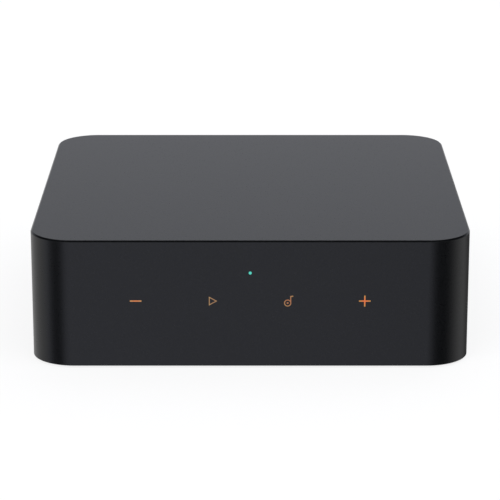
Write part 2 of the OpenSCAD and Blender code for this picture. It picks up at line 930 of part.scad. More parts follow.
// Openings of the sockets in the panel
module panel_openings() {
    y0 = panel_in - past;
    y1 = panel_out + past;
    for (p = phono_places)
        translate([p[0], 0, p[1]])
            y_rod(collar_r + panel_gap, y0, y1);
    for (x = [optical_out_x, optical_in_x])
        translate([x, 0, board_z1 + optical_h / 2])
            y_prism(y0, y1)
                square([optical_w + 2 * panel_gap, optical_h + 2 * panel_gap], center = true);
    translate([lan_x, 0, board_z1 + lan_h / 2])
        y_prism(y0, y1)
            square([lan_w + 2 * panel_gap, lan_h + 2 * panel_gap], center = true);
    translate([power_x, 0, power_z])
        y_prism(y0, y1)
            oblong(power_w + 2 * panel_gap, power_h + 2 * panel_gap);
    translate([jack_x, 0, jack_z])
        y_rod(jack_neck_r + panel_gap, y0, y1);
    translate([reset_x, 0, button_z])
        y_rod(button_r + panel_gap, y0, y1);
}

// Panel around the sockets, with a flange held between the wall and the ribs
module rear_panel() {
    color(panel_black)
        placed()
            difference() {
                union() {
                    intersection() {
                        slab([panel_gap - panel_w / 2, panel_w / 2 - panel_gap], [rear_in, case_d / 2],
                            [cover_z0, panel_top - panel_gap]);
                        z_prism(0, case_h)
                            round_plan(case_w - 2 * panel_recess, case_d - 2 * panel_recess,
                                corner_r - panel_recess);
                    }
                    intersection() {
                        slab([-panel_w / 2 - flange_lap, panel_w / 2 + flange_lap], [panel_in, case_d / 2],
                            [cover_z1, flange_top]);
                        z_prism(0, case_h)
                            round_plan(in_w - 2 * panel_gap, in_d, in_r - panel_gap);
                    }
                }
                panel_openings();
            }
}

// Two groups of vent slots across the cover
module vent_slots() {
    group_x = (vent_count - 1) / 2 * vent_pitch;
    for (s = [-1, 1], i = [0:vent_count - 1])
        translate([s * vent_x - group_x + i * vent_pitch, vent_y, 0])
            z_prism(cover_z0 - past, cover_z1 + past)
                rotate(90)
                    oblong(vent_len, vent_w);
}

// Cover that closes the case from below and carries the main board
module bottom_cover() {
    color(panel_black)
        placed()
            difference() {
                union() {
                    z_prism(cover_z0, cover_z1)
                        round_plan(in_w - 2 * cover_gap, in_d - 2 * cover_gap, in_r - cover_gap);
                    for (p = board_holes)
                        translate(p)
                            post(standoff_d / 2, cover_z0 + cover_t / 2, board_z0);
                    slab([-rib_w / 2, rib_w / 2], [panel_in - rib_gap - rib_t, panel_in - rib_gap],
                        [cover_z0 + cover_t / 2, cover_z1 + rail_h]);
                }
                at_corners(boss_x, boss_y) {
                    post(cover_screw_d / 2 + screw_play, cover_z0 - past, cover_z1 + past);
                    post(cover_head_d / 2 + head_play, cover_z0 - past, head_seat);
                }
                at_corners(foot_x, foot_y)
                    post(foot_d / 2 + foot_play, cover_z0 - past, cover_z0 + foot_seat);
                for (p = board_holes)
                    translate(p)
                        post(board_screw_d / 2 + screw_play, board_z1 - board_screw_l - pilot_end / 2, board_z0 + past);
                vent_slots();
                slab([-field_w / 2, field_w / 2], [field_y - field_d / 2, field_y + field_d / 2],
                    [cover_z0 - past, cover_z0 + field_cut]);
            }
}

// Four screws that hold the cover to the shell
module cover_screws() {
    color(steel_grey)
        placed()
            at_corners(boss_x, boss_y)
                translate([0, 0, head_seat])
                    screw(cover_screw_d, cover_screw_l, cover_head_d, cover_head_h);
}

// Rubber foot glued into its seat
module rubber_foot(sx, sy) {
    color(rubber_grey)
        placed()
            translate([sx * foot_x, sy * foot_y, 0])
                rotate_extrude()
                    polygon([
                        [0, 0], [foot_d / 2 - foot_bevel, 0], [foot_d / 2, foot_bevel],
                        [foot_d / 2, cover_z0 + foot_seat], [0, cover_z0 + foot_seat]
                    ]);
}

module foot_front_left() {
    rubber_foot(-1, -1);
}

module foot_front_right() {
    rubber_foot(1, -1);
}

module foot_rear_left() {
    rubber_foot(-1, 1);
}

module foot_rear_right() {
    rubber_foot(1, 1);
}

module icon_minus() {
    symbol_inlay(0);
}

module icon_play() {
    symbol_inlay(1);
}

module icon_note() {
    symbol_inlay(2);
}

module icon_plus() {
    symbol_inlay(3);
}

// Clear peg through the front wall, with a flange inside
module status_lens() {
    color(lamp_teal)
        placed()
            translate([0, 0, status_z]) {
                y_rod(status_d / 2, front_out, front_in);
                y_rod(lens_flange_r, front_in, front_in + lens_flange_t);
            }
}

// Frame that keeps the lamps' light apart
module light_box() {
    color("white")
        placed()
            difference() {
                slab([-light_w / 2, light_w / 2], [front_in, touch_front], [light_z0, light_z1]);
                for (x = symbol_x)
                    translate([x, 0, symbol_z])
                        y_prism(front_in - past, touch_front + past)
                            square(light_well, center = true);
                translate([0, 0, status_z])
                    y_rod(status_well_r, front_in - past, touch_front + past);
            }
}

// Board with the touch fields, screwed to posts behind the front wall
module touch_board() {
    color(board_black)
        placed()
            difference() {
                slab([-touch_w / 2, touch_w / 2], [touch_front, touch_rear], [touch_z0, touch_z1]);
                touch_posts(board_screw_d / 2 + screw_play, touch_front - past, touch_rear + past);
            }
}

// Lamps in the light wells
module touch_lamps() {
    color("lightyellow")
        placed()
            for (p = concat([for (x = symbol_x) [x, symbol_z]], [[0, status_z]]))
                translate([p[0], 0, p[1]])
                    y_prism(touch_front - lamp_t, touch_front)
                        square([lamp_w, lamp_h], center = true);
}

// Point on a curve with two handles
function bend_at(p, t) =
    pow(1 - t, 3) * p[0] + 3 * pow(1 - t, 2) * t * p[1] + 3 * (1 - t) * pow(t, 2) * p[2] + pow(t, 3) * p[3];

// Direction of a path at one of its points
function heading(path, i) =
    let (d = path[min(i + 1, len(path) - 1)] - path[max(i - 1, 0)])
    d / norm(d);

// Outline of a strip of some thickness along a flat path
function strip(path, t) =
    let (side = [for (i = [0:len(path) - 1]) let (h = heading(path, i)) [-h[1], h[0]] * t / 2],
        last = len(path) - 1)
    concat([for (i = [0:last]) path[i] + side[i]], [for (i = [last:-1:0]) path[i] - side[i]]);

// Flat cable bent from the touch board's socket to the main board's
module ribbon_cable() {
    path = concat(
        [[ribbon_y, touch_socket_z + plug_hold]],
        [for (i = [0:ribbon_steps]) bend_at(ribbon_bend, i / ribbon_steps)],
        [[main_socket_y + plug_hold, ribbon_z]]
    );
    color("ivory")
        placed()
            x_prism(-ribbon_w / 2, ribbon_w / 2)
                polygon(strip(path, ribbon_t));
}

// Sockets of the flat cable on the two boards
module ribbon_sockets() {
    half_w = ribbon_w / 2 + plug_side;
    half_slot = ribbon_w / 2 + slot_play;
    slot_t = ribbon_t / 2 + slot_play;
    color("white")
        placed() {
            difference() {
                slab([-half_w, half_w], [touch_rear, touch_rear + touch_socket_t],
                    [touch_socket_z, touch_socket_z + touch_socket_h]);
                slab([-half_slot, half_slot], [ribbon_y - slot_t, ribbon_y + slot_t],
                    [touch_socket_z - past, touch_socket_z + plug_hold + slot_play]);
            }
            difference() {
                slab([-half_w, half_w], [main_socket_y, main_socket_y + main_socket_d],
                    [board_z1, board_z1 + main_socket_h]);
                slab([-half_slot, half_slot], [main_socket_y - past, main_socket_y + plug_hold + slot_play],
                    [ribbon_z - slot_t, ribbon_z + slot_t]);
            }
        }
}

// Places of the two push pins, on a diagonal of the heat sink
module at_pins() {
    for (s = [-1, 1])
        translate([chip_x + s * pin_off, chip_y + s * pin_off, 0])
            children();
}

// Main board on the cover's posts
module main_board() {
    color(board_green)
        placed()
            difference() {
                slab([-board_w / 2, board_w / 2], [board_front, board_rear], [board_z0, board_z1]);
                for (p = board_holes)
                    translate(p)
                        post(board_screw_d / 2 + screw_play, board_z0 - past, board_z1 + past);
                at_pins()
                    post(pin_d / 2 + pin_play, board_z0 - past, board_z1 + past);
            }
}

// Screws of the main board and of the touch board
module board_screws() {
    color(steel_grey)
        placed() {
            for (p = board_holes)
                translate([p[0], p[1], board_z1])
                    rotate([180, 0, 0])
                        screw(board_screw_d, board_screw_l, board_head_d, board_head_h);
            for (s = [-1, 1])
                translate([s * touch_boss_x, touch_rear, touch_boss_z])
                    rotate([90, 0, 0])
                        screw(board_screw_d, board_screw_l, board_head_d, board_head_h);
        }
}

// Square block standing on a level, around a place on the board
module chip(x, y, w, d, z0, z1) {
    slab([x - w / 2, x + w / 2], [y - d / 2, y + d / 2], [z0, z1]);
}

module processor() {
    color(inner_black)
        placed()
            chip(chip_x, chip_y, chip_w, chip_w, board_z1, pad_z);
}

// Soft pad between the processor and the heat sink
module thermal_pad() {
    color("lightsteelblue")
        placed()
            chip(chip_x, chip_y, chip_w, chip_w, pad_z, sink_z0);
}

// Plate with upright fins
module heat_sink() {
    color(aluminium_grey)
        placed()
            difference() {
                union() {
                    chip(chip_x, chip_y, sink_w, sink_w, sink_z0, sink_z1);
                    for (i = [0:fin_count - 1])
                        translate([0, (2 * i / (fin_count - 1) - 1) * (fin_reach - fin_t / 2), 0])
                            chip(chip_x, chip_y, sink_w, fin_t, sink_z0 + sink_t / 2, sink_z1 + fin_h);
                }
                at_pins()
                    post(pin_d / 2 + pin_play, sink_z0 - past, sink_z1 + past);
            }
}

// Push pins that clip the heat sink to the board
module heat_sink_pins() {
    r = pin_d / 2;
    color("gainsboro")
        placed()
            at_pins()
                rotate_extrude()
                    polygon([
                        [0, board_z0 - pin_tail], [r - pin_barb, board_z0 - pin_tail],
                        [r + pin_barb, board_z0 - pin_play], [r, board_z0 - pin_play], [r, sink_z1],
                        [pin_head_r, sink_z1], [pin_head_r, sink_z1 + pin_head_h], [0, sink_z1 + pin_head_h]
                    ]);
}

// Small board with the radio parts
module wireless_board() {
    color(board_black)
        placed()
            slab([radio_x0, radio_x0 + radio_w], [radio_y0, radio_y0 + radio_d], [board_z1, radio_z1]);
}

// Sheet metal can over the radio parts
module wireless_shield() {
    x1 = radio_x0 + radio_w - radio_edge;
    x0 = x1 - radio_shield_w;
    y0 = radio_y0 + radio_edge;
    y1 = y0 + radio_shield_d;
    z1 = radio_z1 + radio_shield_h;
    color(steel_grey)
        placed()
            difference() {
                slab([x0, x1], [y0, y1], [radio_z1, z1]);
                slab([x0 + radio_sheet, x1 - radio_sheet], [y0 + radio_sheet, y1 - radio_sheet],
                    [radio_z1 - past, z1 - radio_sheet]);
            }
}

// Flat antenna stuck to a side wall
module wall_antenna(s) {
    color(gold)
        placed()
            translate([s * (in_w - antenna_t) / 2, antenna_y, antenna_z])
                cube([antenna_t, antenna_w, antenna_h], center = true);
}

module antenna_left() {
    wall_antenna(-1);
}

module antenna_right() {
    wall_antenna(1);
}

// Point between two points of a path, on a smooth curve through all of them
function smooth_at(p, i, t) =
    let (a = p[max(i - 1, 0)], b = p[i], c = p[i + 1], d = p[min(i + 2, len(p) - 1)])
    (2 * b + (c - a) * t + (2 * a - 5 * b + 4 * c - d) * pow(t, 2) + (3 * b - a - 3 * c + d) * pow(t, 3)) / 2;

// Points along that curve
function smooth_path(p, steps) = concat(
    [for (i = [0:len(p) - 2], k = [0:steps - 1]) smooth_at(p, i, k / steps)],
    [p[len(p) - 1]]
);

// Round tube along a path that never runs straight up
module tube(path, r) {
    rings = len(path);
    points = [for (i = [0:rings - 1])
        let (h = heading(path, i),
            side = cross(h, [0, 0, 1]) / norm(cross(h, [0, 0, 1])),
            up = cross(side, h))
        for (k = [0:lead_sides - 1])
            path[i] + r * (cos(360 * k / lead_sides) * side + sin(360 * k / lead_sides) * up)];
    skin = [for (i = [0:rings - 2], k = [0:lead_sides - 1])
        let (a = i * lead_sides + k,
            b = i * lead_sides + (k + 1) % lead_sides)
        each [[a, b, b + lead_sides], [a, b + lead_sides, a + lead_sides]]];
    first = [for (k = [1:lead_sides - 2]) [0, k + 1, k]];
    base = (rings - 1) * lead_sides;
    last = [for (k = [1:lead_sides - 2]) [base, base + k, base + k + 1]];
    polyhedron(points, concat(skin, first, last));
}

// Leads from the wireless board to the two antennas, with their push-on plugs
module antenna_leads() {
    color("dimgray")
        placed() {
            for (y = lead_y)
                translate([lead_x, y, 0])
                    post(lead_plug_r, radio_z1, radio_z1 + lead_plug_h);
            tube(smooth_path(left_lead, lead_steps), lead_d / 2);
            tube(smooth_path(right_lead, lead_steps), lead_d / 2);
        }
}

module audio_converter() {
    color(inner_black)
        placed()
            chip(converter_x, converter_y, converter_w, converter_w, board_z1, board_z1 + converter_h);
}

// Six capacitors beside the phono blocks
module audio_capacitors() {
    r = cap_d / 2;
    color(steel_grey)
        placed()
            for (i = [-1:1], j = [-0.5, 0.5])
                translate([cap_x + i * cap_pitch, cap_y + j * cap_pitch, board_z1])
                    rotate_extrude()
                        polygon([
                            [0, 0], [r, 0], [r, cap_base_h], [r - cap_bevel, cap_base_h + cap_bevel],
                            [r, cap_base_h + 2 * cap_bevel], [r, cap_h - cap_bevel], [r - cap_bevel, cap_h], [0, cap_h]
                        ]);
}

module ethernet_transformer() {
    color(inner_black)
        placed()
            chip(lan_x, transformer_y, transformer_w, transformer_d, board_z1, board_z1 + transformer_h);
}

// Block on the board's edge that carries one phono socket, or two above each other
module phono_block(x, sockets) {
    color(inner_black)
        placed()
            difference() {
                union() {
                    slab([x - phono_w / 2, x + phono_w / 2], [panel_in - phono_d, panel_in],
                        [board_z1, phono_z[sockets - 1] + phono_top]);
                    for (j = [0:sockets - 1])
                        translate([x, 0, phono_z[j]])
                            y_rod(collar_r, panel_in - past, collar_y);
                }
                for (j = [0:sockets - 1])
                    translate([x, 0, phono_z[j]])
                        y_rod(shank_r + phono_play, barrel_y0, collar_y + past);
            }
}

module line_in_block() {
    phono_block(line_in_x, 2);
}

module line_out_block() {
    phono_block(line_out_x, 2);
}

module coax_block() {
    phono_block(coax_x, 1);
}

// Plated outer contact of a phono socket, its shoulder against the collar
module phono_barrel(i) {
    color(plated_grey)
        placed()
            translate([phono_places[i][0], 0, phono_places[i][1]])
                difference() {
                    union() {
                        y_rod(shank_r, barrel_y0, collar_y);
                        y_rod(barrel_r, collar_y, barrel_y1);
                    }
                    y_rod(barrel_r - barrel_t, barrel_y0 - past, barrel_y1 + past);
                }
}

module line_in_right_barrel() {
    phono_barrel(0);
}

module line_in_left_barrel() {
    phono_barrel(1);
}

module line_out_right_barrel() {
    phono_barrel(2);
}

module line_out_left_barrel() {
    phono_barrel(3);
}

module coax_barrel() {
    phono_barrel(4);
}

// Coloured insulator inside a barrel, drilled for its centre contact
module phono_insert(i) {
    translate([phono_places[i][0], 0, phono_places[i][1]])
        difference() {
            y_rod(insert_r, barrel_y0, barrel_y1 - insert_in);
            y_rod(contact_r + contact_t + phono_play, contact_y, barrel_y1 + past);
        }
}

// Insulators of the left channel
module white_inserts() {
    color("whitesmoke")
        placed() {
            phono_insert(1);
            phono_insert(3);
        }
}

// Insulators of the right channel
module red_inserts() {
    color("firebrick")
        placed() {
            phono_insert(0);
            phono_insert(2);
        }
}

// Insulator of the digital socket
module orange_insert() {
    color("darkorange")
        placed()
            phono_insert(4);
}

// Centre contacts of the five phono sockets
module barrel_contacts() {
    color(gold)
        placed()
            for (p = phono_places)
                translate([p[0], 0, p[1]])
                    difference() {
                        y_rod(contact_r + contact_t, contact_y, barrel_y1 - contact_in);
                        y_rod(contact_r, contact_y - past, barrel_y1);
                    }
}

// Housing of an optical socket: lip, shutter chamber and pocket for the light module
module optical_housing(x) {
    half_w = module_w / 2 + module_play;
    color(inner_black)
        placed()
            translate([x, optical_front, board_z1])
                difference() {
                    slab([-optical_w / 2, optical_w / 2], [-optical_d, 0], [0, optical_h]);
                    slab([-mouth_w / 2, mouth_w / 2], [-mouth_lip - past, past], [mouth_low, mouth_low + mouth_h]);
                    slab([-chamber_w / 2, chamber_w / 2], [-chamber_d, -mouth_lip], [chamber_z0, chamber_z1]);
                    translate([0, pivot_y, pivot_z])
                        x_rod(trunnion_r + trunnion_play, -trunnion_x - trunnion_end, trunnion_x + trunnion_end);
                    translate([0, 0, module_z])
                        y_rod(module_nose_r + module_play, -chamber_d - optical_wall - past, past - chamber_d);
                    slab([-half_w, half_w], [-optical_d - past, -chamber_d - optical_wall],
                        [chamber_z0, chamber_z1]);
                }
}

// Sprung shutter that hangs behind the mouth and swings inwards
module optical_shutter(x) {
    color(panel_black)
        placed()
            translate([x, optical_front, board_z1]) {
                slab([-shutter_w / 2, shutter_w / 2], [pivot_y - shutter_t / 2, pivot_y + shutter_t / 2],
                    [shutter_low, pivot_z]);
                translate([0, pivot_y, pivot_z]) {
                    x_rod(knuckle_r, -shutter_w / 2, shutter_w / 2);
                    x_rod(trunnion_r, -trunnion_x, trunnion_x);
                }
            }
}

// Light module in the back of an optical housing
module optical_module(x) {
    color("dimgray")
        placed()
            translate([x, optical_front, board_z1]) {
                slab([-module_w / 2, module_w / 2], [-optical_d, -chamber_d - optical_wall],
                    [chamber_z0 + module_play, chamber_z1 - module_play]);
                translate([0, 0, module_z])
                    y_rod(module_nose_r, -chamber_d - optical_wall - past, module_nose - chamber_d - optical_wall);
            }
}

module optical_out_housing() {
    optical_housing(optical_out_x);
}

module optical_out_shutter() {
    optical_shutter(optical_out_x);
}

module optical_out_module() {
    optical_module(optical_out_x);
}

module optical_in_housing() {
    optical_housing(optical_in_x);
}

module optical_in_shutter() {
    optical_shutter(optical_in_x);
}

module optical_in_module() {
    optical_module(optical_in_x);
}

// Places of the two lamps above the plug's way
module at_lan_lamps() {
    for (s = [-1, 1])
        translate([s * lan_lamp_x, 0, lan_lamp_z])
            children();
}

// Sheet metal shield around the ethernet socket, open below
module ethernet_shield() {
    half_w = lan_w / 2;
    color(steel_grey)
        placed()
            translate([lan_x, lan_front, board_z1])
                difference() {
                    slab([-half_w, half_w], [-lan_d, 0], [0, lan_h]);
                    slab([lan_sheet - half_w, half_w - lan_sheet], [lan_sheet - lan_d, -lan_sheet],
                        [-past, lan_h - lan_sheet]);
                    slab([-plug_w / 2 - lan_mouth, plug_w / 2 + lan_mouth], [-lan_sheet - past, past],
                        [latch_z0 - lan_mouth, plug_z1 + lan_mouth]);
                    at_lan_lamps()
                        y_prism(-lan_sheet - past, past)
                            square([lan_lamp_w + 2 * lan_play, lan_lamp_h + 2 * lan_play], center = true);
                }
}

// Moulded insert with the plug's way and pockets for the lamps
module ethernet_insert() {
    half_w = lan_w / 2 - lan_sheet - lan_play;
    face = -lan_sheet - lan_play;
    color(inner_black)
        placed()
            translate([lan_x, lan_front, board_z1])
                difference() {
                    slab([-half_w, half_w], [lan_sheet + lan_play - lan_d, face], [0, lan_h - lan_sheet - lan_play]);
                    slab([-plug_w / 2, plug_w / 2], [-plug_d, past], [plug_z0, plug_z1]);
                    slab([-latch_w / 2, latch_w / 2], [-plug_d, past], [latch_z0, plug_z0 + past]);
                    at_lan_lamps()
                        y_prism(face - lan_lamp_d, past)
                            square([lan_lamp_w + 2 * lan_play, lan_lamp_h + 2 * lan_play], center = true);
                }
}

// Spring contacts that slope down from the roof of the plug's way
module ethernet_contacts() {
    top = plug_z1 - lan_play;
    color(gold)
        placed()
            translate([lan_x, lan_front, board_z1])
                for (i = [0:contact_count - 1])
                    translate([(i - (contact_count - 1) / 2) * contact_pitch, 0, 0])
                        x_prism(-contact_w / 2, contact_w / 2)
                            polygon([
                                [contact_y0, top], [contact_y0, top - contact_sheet],
                                [contact_y1, top - contact_drop], [contact_y1, top - contact_drop + contact_sheet],
                                [contact_y0 - contact_sheet * 3, top]
                            ]);
}

// Link lamps of the ethernet socket
module ethernet_lamps() {
    color("palegreen")
        placed()
            translate([lan_x, lan_front, board_z1])
                at_lan_lamps()
                    y_prism(-lan_sheet - lan_lamp_d, -lan_play)
                        square([lan_lamp_w, lan_lamp_h], center = true);
}

// Sheet metal shell of the power socket, standing on four legs
module power_shell() {
    leg_x = power_w / 2 - power_leg_in;
    color(steel_grey)
        placed()
            translate([power_x, power_front, power_z])
                difference() {
                    union() {
                        y_prism(-power_d, 0)
                            oblong(power_w, power_h);
                        for (s = [-1, 1], y = [0, power_d - power_leg_w - panel_recess - flange_t - wall])
                            translate([s * (leg_x - power_t / 2), y - power_d, 0])
                                translate([-power_t / 2, 0, board_z1 - power_z])
                                    cube([power_t, power_leg_w, power_z - board_z1]);
                    }
                    y_prism(power_back - power_d, past)
                        oblong(power_w - 2 * power_t, power_h - 2 * power_t);
                }
}

// Contact tongue of the power socket
module power_tongue() {
    back = power_back - power_d;
    color("black")
        placed()
            translate([power_x, power_front, power_z]) {
                y_prism(back, back + tongue_base)
                    oblong(power_w - 2 * power_t - 2 * tongue_play, power_h - 2 * power_t - 2 * tongue_play);
                y_prism(back + tongue_base, -tongue_in)
                    square([tongue_w, tongue_t], center = true);
            }
}

// Jack for a trigger lead
module trigger_jack() {
    neck_y = panel_out + jack_out;
    color(inner_black)
        placed()
            translate([jack_x, 0, jack_z])
                difference() {
                    union() {
                        slab([-jack_w / 2, jack_w / 2], [jack_body_y - jack_d, jack_body_y],
                            [-jack_h / 2, jack_h / 2]);
                        y_rod(jack_neck_r, jack_body_y - past, neck_y);
                    }
                    y_rod(jack_r, neck_y - jack_bore, neck_y + past);
                }
}

// Switch on the board that guides the reset button
module reset_switch() {
    color(inner_black)
        placed()
            translate([reset_x, 0, 0])
                difference() {
                    slab([-switch_w / 2, switch_w / 2], [switch_y0, switch_y1], [board_z1, board_z1 + switch_h]);
                    translate([0, 0, button_z]) {
                        y_rod(button_head_r + switch_room, switch_hollow_y0, switch_hollow_y1);
                        y_rod(button_r + button_play, switch_hollow_y0, switch_y1 + past);
                    }
                }
}

// Reset button, kept in by its head
module reset_button() {
    color("lightgray")
        placed()
            translate([reset_x, 0, button_z]) {
                y_rod(button_head_r, button_head_y0, button_head_y1);
                y_rod(button_r, button_head_y1 - button_head_t / 2, panel_out + button_out);
            }
}

upper_shell();
rear_panel();
bottom_cover();
cover_screws();
foot_front_left();
foot_front_right();
foot_rear_left();
foot_rear_right();
icon_minus();
icon_play();
icon_note();
icon_plus();
status_lens();
light_box();
touch_board();
touch_lamps();
ribbon_cable();
ribbon_sockets();
main_board();
board_screws();
processor();
thermal_pad();
heat_sink();
heat_sink_pins();
wireless_board();
wireless_shield();
antenna_left();
antenna_right();
antenna_leads();
audio_converter();
audio_capacitors();
ethernet_transformer();
line_in_block();
line_out_block();
coax_block();
line_in_left_barrel();
line_in_right_barrel();
line_out_left_barrel();
line_out_right_barrel();
coax_barrel();
white_inserts();
red_inserts();
orange_insert();
barrel_contacts();
optical_out_housing();
optical_out_shutter();
optical_out_module();
optical_in_housing();
optical_in_shutter();
optical_in_module();
ethernet_shield();
ethernet_insert();
ethernet_contacts();
ethernet_lamps();
power_shell();
power_tongue();
trigger_jack();
reset_switch();
reset_button();
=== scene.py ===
import json
import math

import bmesh
import bpy
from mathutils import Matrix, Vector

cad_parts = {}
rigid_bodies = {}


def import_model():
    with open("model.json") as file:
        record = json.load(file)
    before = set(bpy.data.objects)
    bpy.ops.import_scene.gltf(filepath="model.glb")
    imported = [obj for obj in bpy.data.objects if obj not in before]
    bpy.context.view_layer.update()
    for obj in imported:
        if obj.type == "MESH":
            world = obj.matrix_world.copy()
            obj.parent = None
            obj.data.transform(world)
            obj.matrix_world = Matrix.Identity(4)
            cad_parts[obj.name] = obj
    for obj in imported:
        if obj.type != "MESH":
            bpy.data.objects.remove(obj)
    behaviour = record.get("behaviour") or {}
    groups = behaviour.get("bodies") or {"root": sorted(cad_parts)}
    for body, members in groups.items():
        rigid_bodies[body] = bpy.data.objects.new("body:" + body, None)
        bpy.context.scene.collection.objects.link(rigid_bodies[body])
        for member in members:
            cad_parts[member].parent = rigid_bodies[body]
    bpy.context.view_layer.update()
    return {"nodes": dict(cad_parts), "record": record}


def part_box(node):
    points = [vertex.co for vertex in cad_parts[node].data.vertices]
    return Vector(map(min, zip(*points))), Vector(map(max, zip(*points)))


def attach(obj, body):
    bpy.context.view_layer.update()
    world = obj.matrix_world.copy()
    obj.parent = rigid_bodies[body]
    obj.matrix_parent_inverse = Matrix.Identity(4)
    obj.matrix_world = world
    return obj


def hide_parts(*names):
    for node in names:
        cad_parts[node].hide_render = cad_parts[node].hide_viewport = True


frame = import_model()
nodes = frame["nodes"]
slotOf = {part["node"]: part["material_slot"] for part in frame["record"]["subparts"]}
bodyOf = {node: body for body, group in frame["record"]["behaviour"]["bodies"].items() for node in group}
mm = 0.001
touching = 0.01 * mm  # what lies nearer than this is at the same height
print("frame loaded with", len(nodes), "nodes")


# Colours and nodes

def linear(code):  # sRGB hex to linear colour
    parts = [int(code[i:i + 2], 16) / 255 for i in (1, 3, 5)]
    return [p / 12.92 if p <= 0.04045 else ((p + 0.055) / 1.055) ** 2.4 for p in parts] + [1]


def addNode(tree, kind, inputs=None, **settings):
    node = tree.nodes.new("ShaderNode" + kind)
    for key, value in settings.items():
        setattr(node, key, value)
    for key, value in (inputs or {}).items():
        if isinstance(value, bpy.types.NodeSocket):
            tree.links.new(value, node.inputs[key])
        else:
            node.inputs[key].default_value = value
    return node


def startMaterial(name):
    material = bpy.data.materials.new(name)
    material.use_nodes = True
    tree = material.node_tree
    place = addNode(tree, "TexCoord").outputs["Object"]
    return material, tree, tree.nodes["Principled BSDF"], place


noiseBand = (0.3, 0.7)  # most values of a noise lie between these


def blendColours(tree, amount, first, second):
    ramp = addNode(tree, "ValToRGB", {"Fac": amount})
    ramp.color_ramp.elements[0].position = noiseBand[0]
    ramp.color_ramp.elements[1].position = noiseBand[1]
    ramp.color_ramp.elements[0].color = linear(first)
    ramp.color_ramp.elements[1].color = linear(second)
    return ramp.outputs["Color"]


def spread(tree, amount, low, high):
    span = addNode(tree, "MapRange", {"Value": amount, "From Min": noiseBand[0], "From Max": noiseBand[1],
                                      "To Min": low, "To Max": high})
    return span.outputs["Result"]


# Moulded plastic: a nearly even colour, a soft sheen and the fine pits of the eroded mould
plasticGrain = {"cloudDetail": 3, "grainDetail": 2, "roughSpread": 0.03, "strength": 0.5}


def mouldedPlastic(name, first, second, rough, grainMm, depthMm, cloudMm=40, ior=1.5, level=0.5):
    material, tree, shader, place = startMaterial(name)
    cloud = addNode(tree, "TexNoise", {"Vector": place, "Scale": 1 / (cloudMm * mm),
                                       "Detail": plasticGrain["cloudDetail"]}).outputs["Fac"]
    grain = addNode(tree, "TexNoise", {"Vector": place, "Scale": 1 / (grainMm * mm),
                                       "Detail": plasticGrain["grainDetail"]}).outputs["Fac"]
    uneven = plasticGrain["roughSpread"]
    tree.links.new(blendColours(tree, cloud, first, second), shader.inputs["Base Color"])
    tree.links.new(spread(tree, grain, rough - uneven, rough + uneven), shader.inputs["Roughness"])
    bump = addNode(tree, "Bump", {"Height": grain, "Strength": plasticGrain["strength"], "Distance": depthMm * mm})
    tree.links.new(bump.outputs["Normal"], shader.inputs["Normal"])
    shader.inputs["IOR"].default_value = ior
    shader.inputs["Specular IOR Level"].default_value = level
    return material


# Plated or bare metal: colour from the metal, faint drawing lines and a slightly uneven polish
metalLines = {"lineDetail": 4, "cloudDetail": 2, "cloudMm": 4, "smoother": 0.06, "rougher": 0.08, "strength": 0.3,
              "quarterTurn": 0.25}


def drawnMetal(name, first, second, rough, lineMm, stretch=(1, 1, 1), depthMm=0.004, lathe=0):
    material, tree, shader, place = startMaterial(name)
    turned = addNode(tree, "Mapping", {"Vector": place, "Scale": stretch}).outputs["Vector"]
    lines = addNode(tree, "TexNoise", {"Vector": turned, "Scale": 1 / (lineMm * mm),
                                       "Detail": metalLines["lineDetail"]}).outputs["Fac"]
    cloud = addNode(tree, "TexNoise", {"Vector": place, "Scale": 1 / (metalLines["cloudMm"] * mm),
                                       "Detail": metalLines["cloudDetail"]}).outputs["Fac"]
    finest, dullest = rough - metalLines["smoother"], rough + metalLines["rougher"]
    tree.links.new(blendColours(tree, cloud, first, second), shader.inputs["Base Color"])
    tree.links.new(spread(tree, lines, finest, dullest), shader.inputs["Roughness"])
    bump = addNode(tree, "Bump", {"Height": lines, "Strength": metalLines["strength"], "Distance": depthMm * mm})
    tree.links.new(bump.outputs["Normal"], shader.inputs["Normal"])
    shader.inputs["Metallic"].default_value = 1
    if lathe:  # marks that run round the Y axis draw the light out along it
        around = addNode(tree, "Tangent", direction_type="RADIAL", axis="Y").outputs["Tangent"]
        tree.links.new(around, shader.inputs["Tangent"])
        shader.inputs["Anisotropic"].default_value = lathe
        shader.inputs["Anisotropic Rotation"].default_value = metalLines["quarterTurn"]
    return material


# Light showing through a plastic window: strongest over the lamp, paler towards the ends
windowGlow = {"strength": (0.95, 1.05), "rough": (0.28, 0.34)}


def litPlastic(name, core, rim, centre, reachMm, body, spotMm=0.6):
    material, tree, shader, place = startMaterial(name)
    size = 1 / (reachMm * mm)
    about = addNode(tree, "Mapping", {"Vector": place, "Scale": [size] * 3,
                                      "Location": [-c * size for c in centre]}).outputs["Vector"]
    fall = addNode(tree, "TexGradient", {"Vector": about}, gradient_type="SPHERICAL").outputs["Fac"]
    spots = addNode(tree, "TexNoise", {"Vector": place, "Scale": 1 / (spotMm * mm), "Detail": 1}).outputs["Fac"]
    tree.links.new(blendColours(tree, fall, rim, core), shader.inputs["Emission Color"])
    tree.links.new(spread(tree, spots, *windowGlow["strength"]), shader.inputs["Emission Strength"])
    tree.links.new(spread(tree, spots, *windowGlow["rough"]), shader.inputs["Roughness"])
    shader.inputs["Base Color"].default_value = linear(body)
    return material


# Glass-epoxy board under solder mask: woven glass shows faintly, copper tracks stand slightly proud
boardMask = {"trackShare": 0.03, "weavePerScale": 0.16, "weaveWander": 1, "rough": (0.32, 0.4),
             "strength": 0.4, "trackRise": 0.035 * mm}


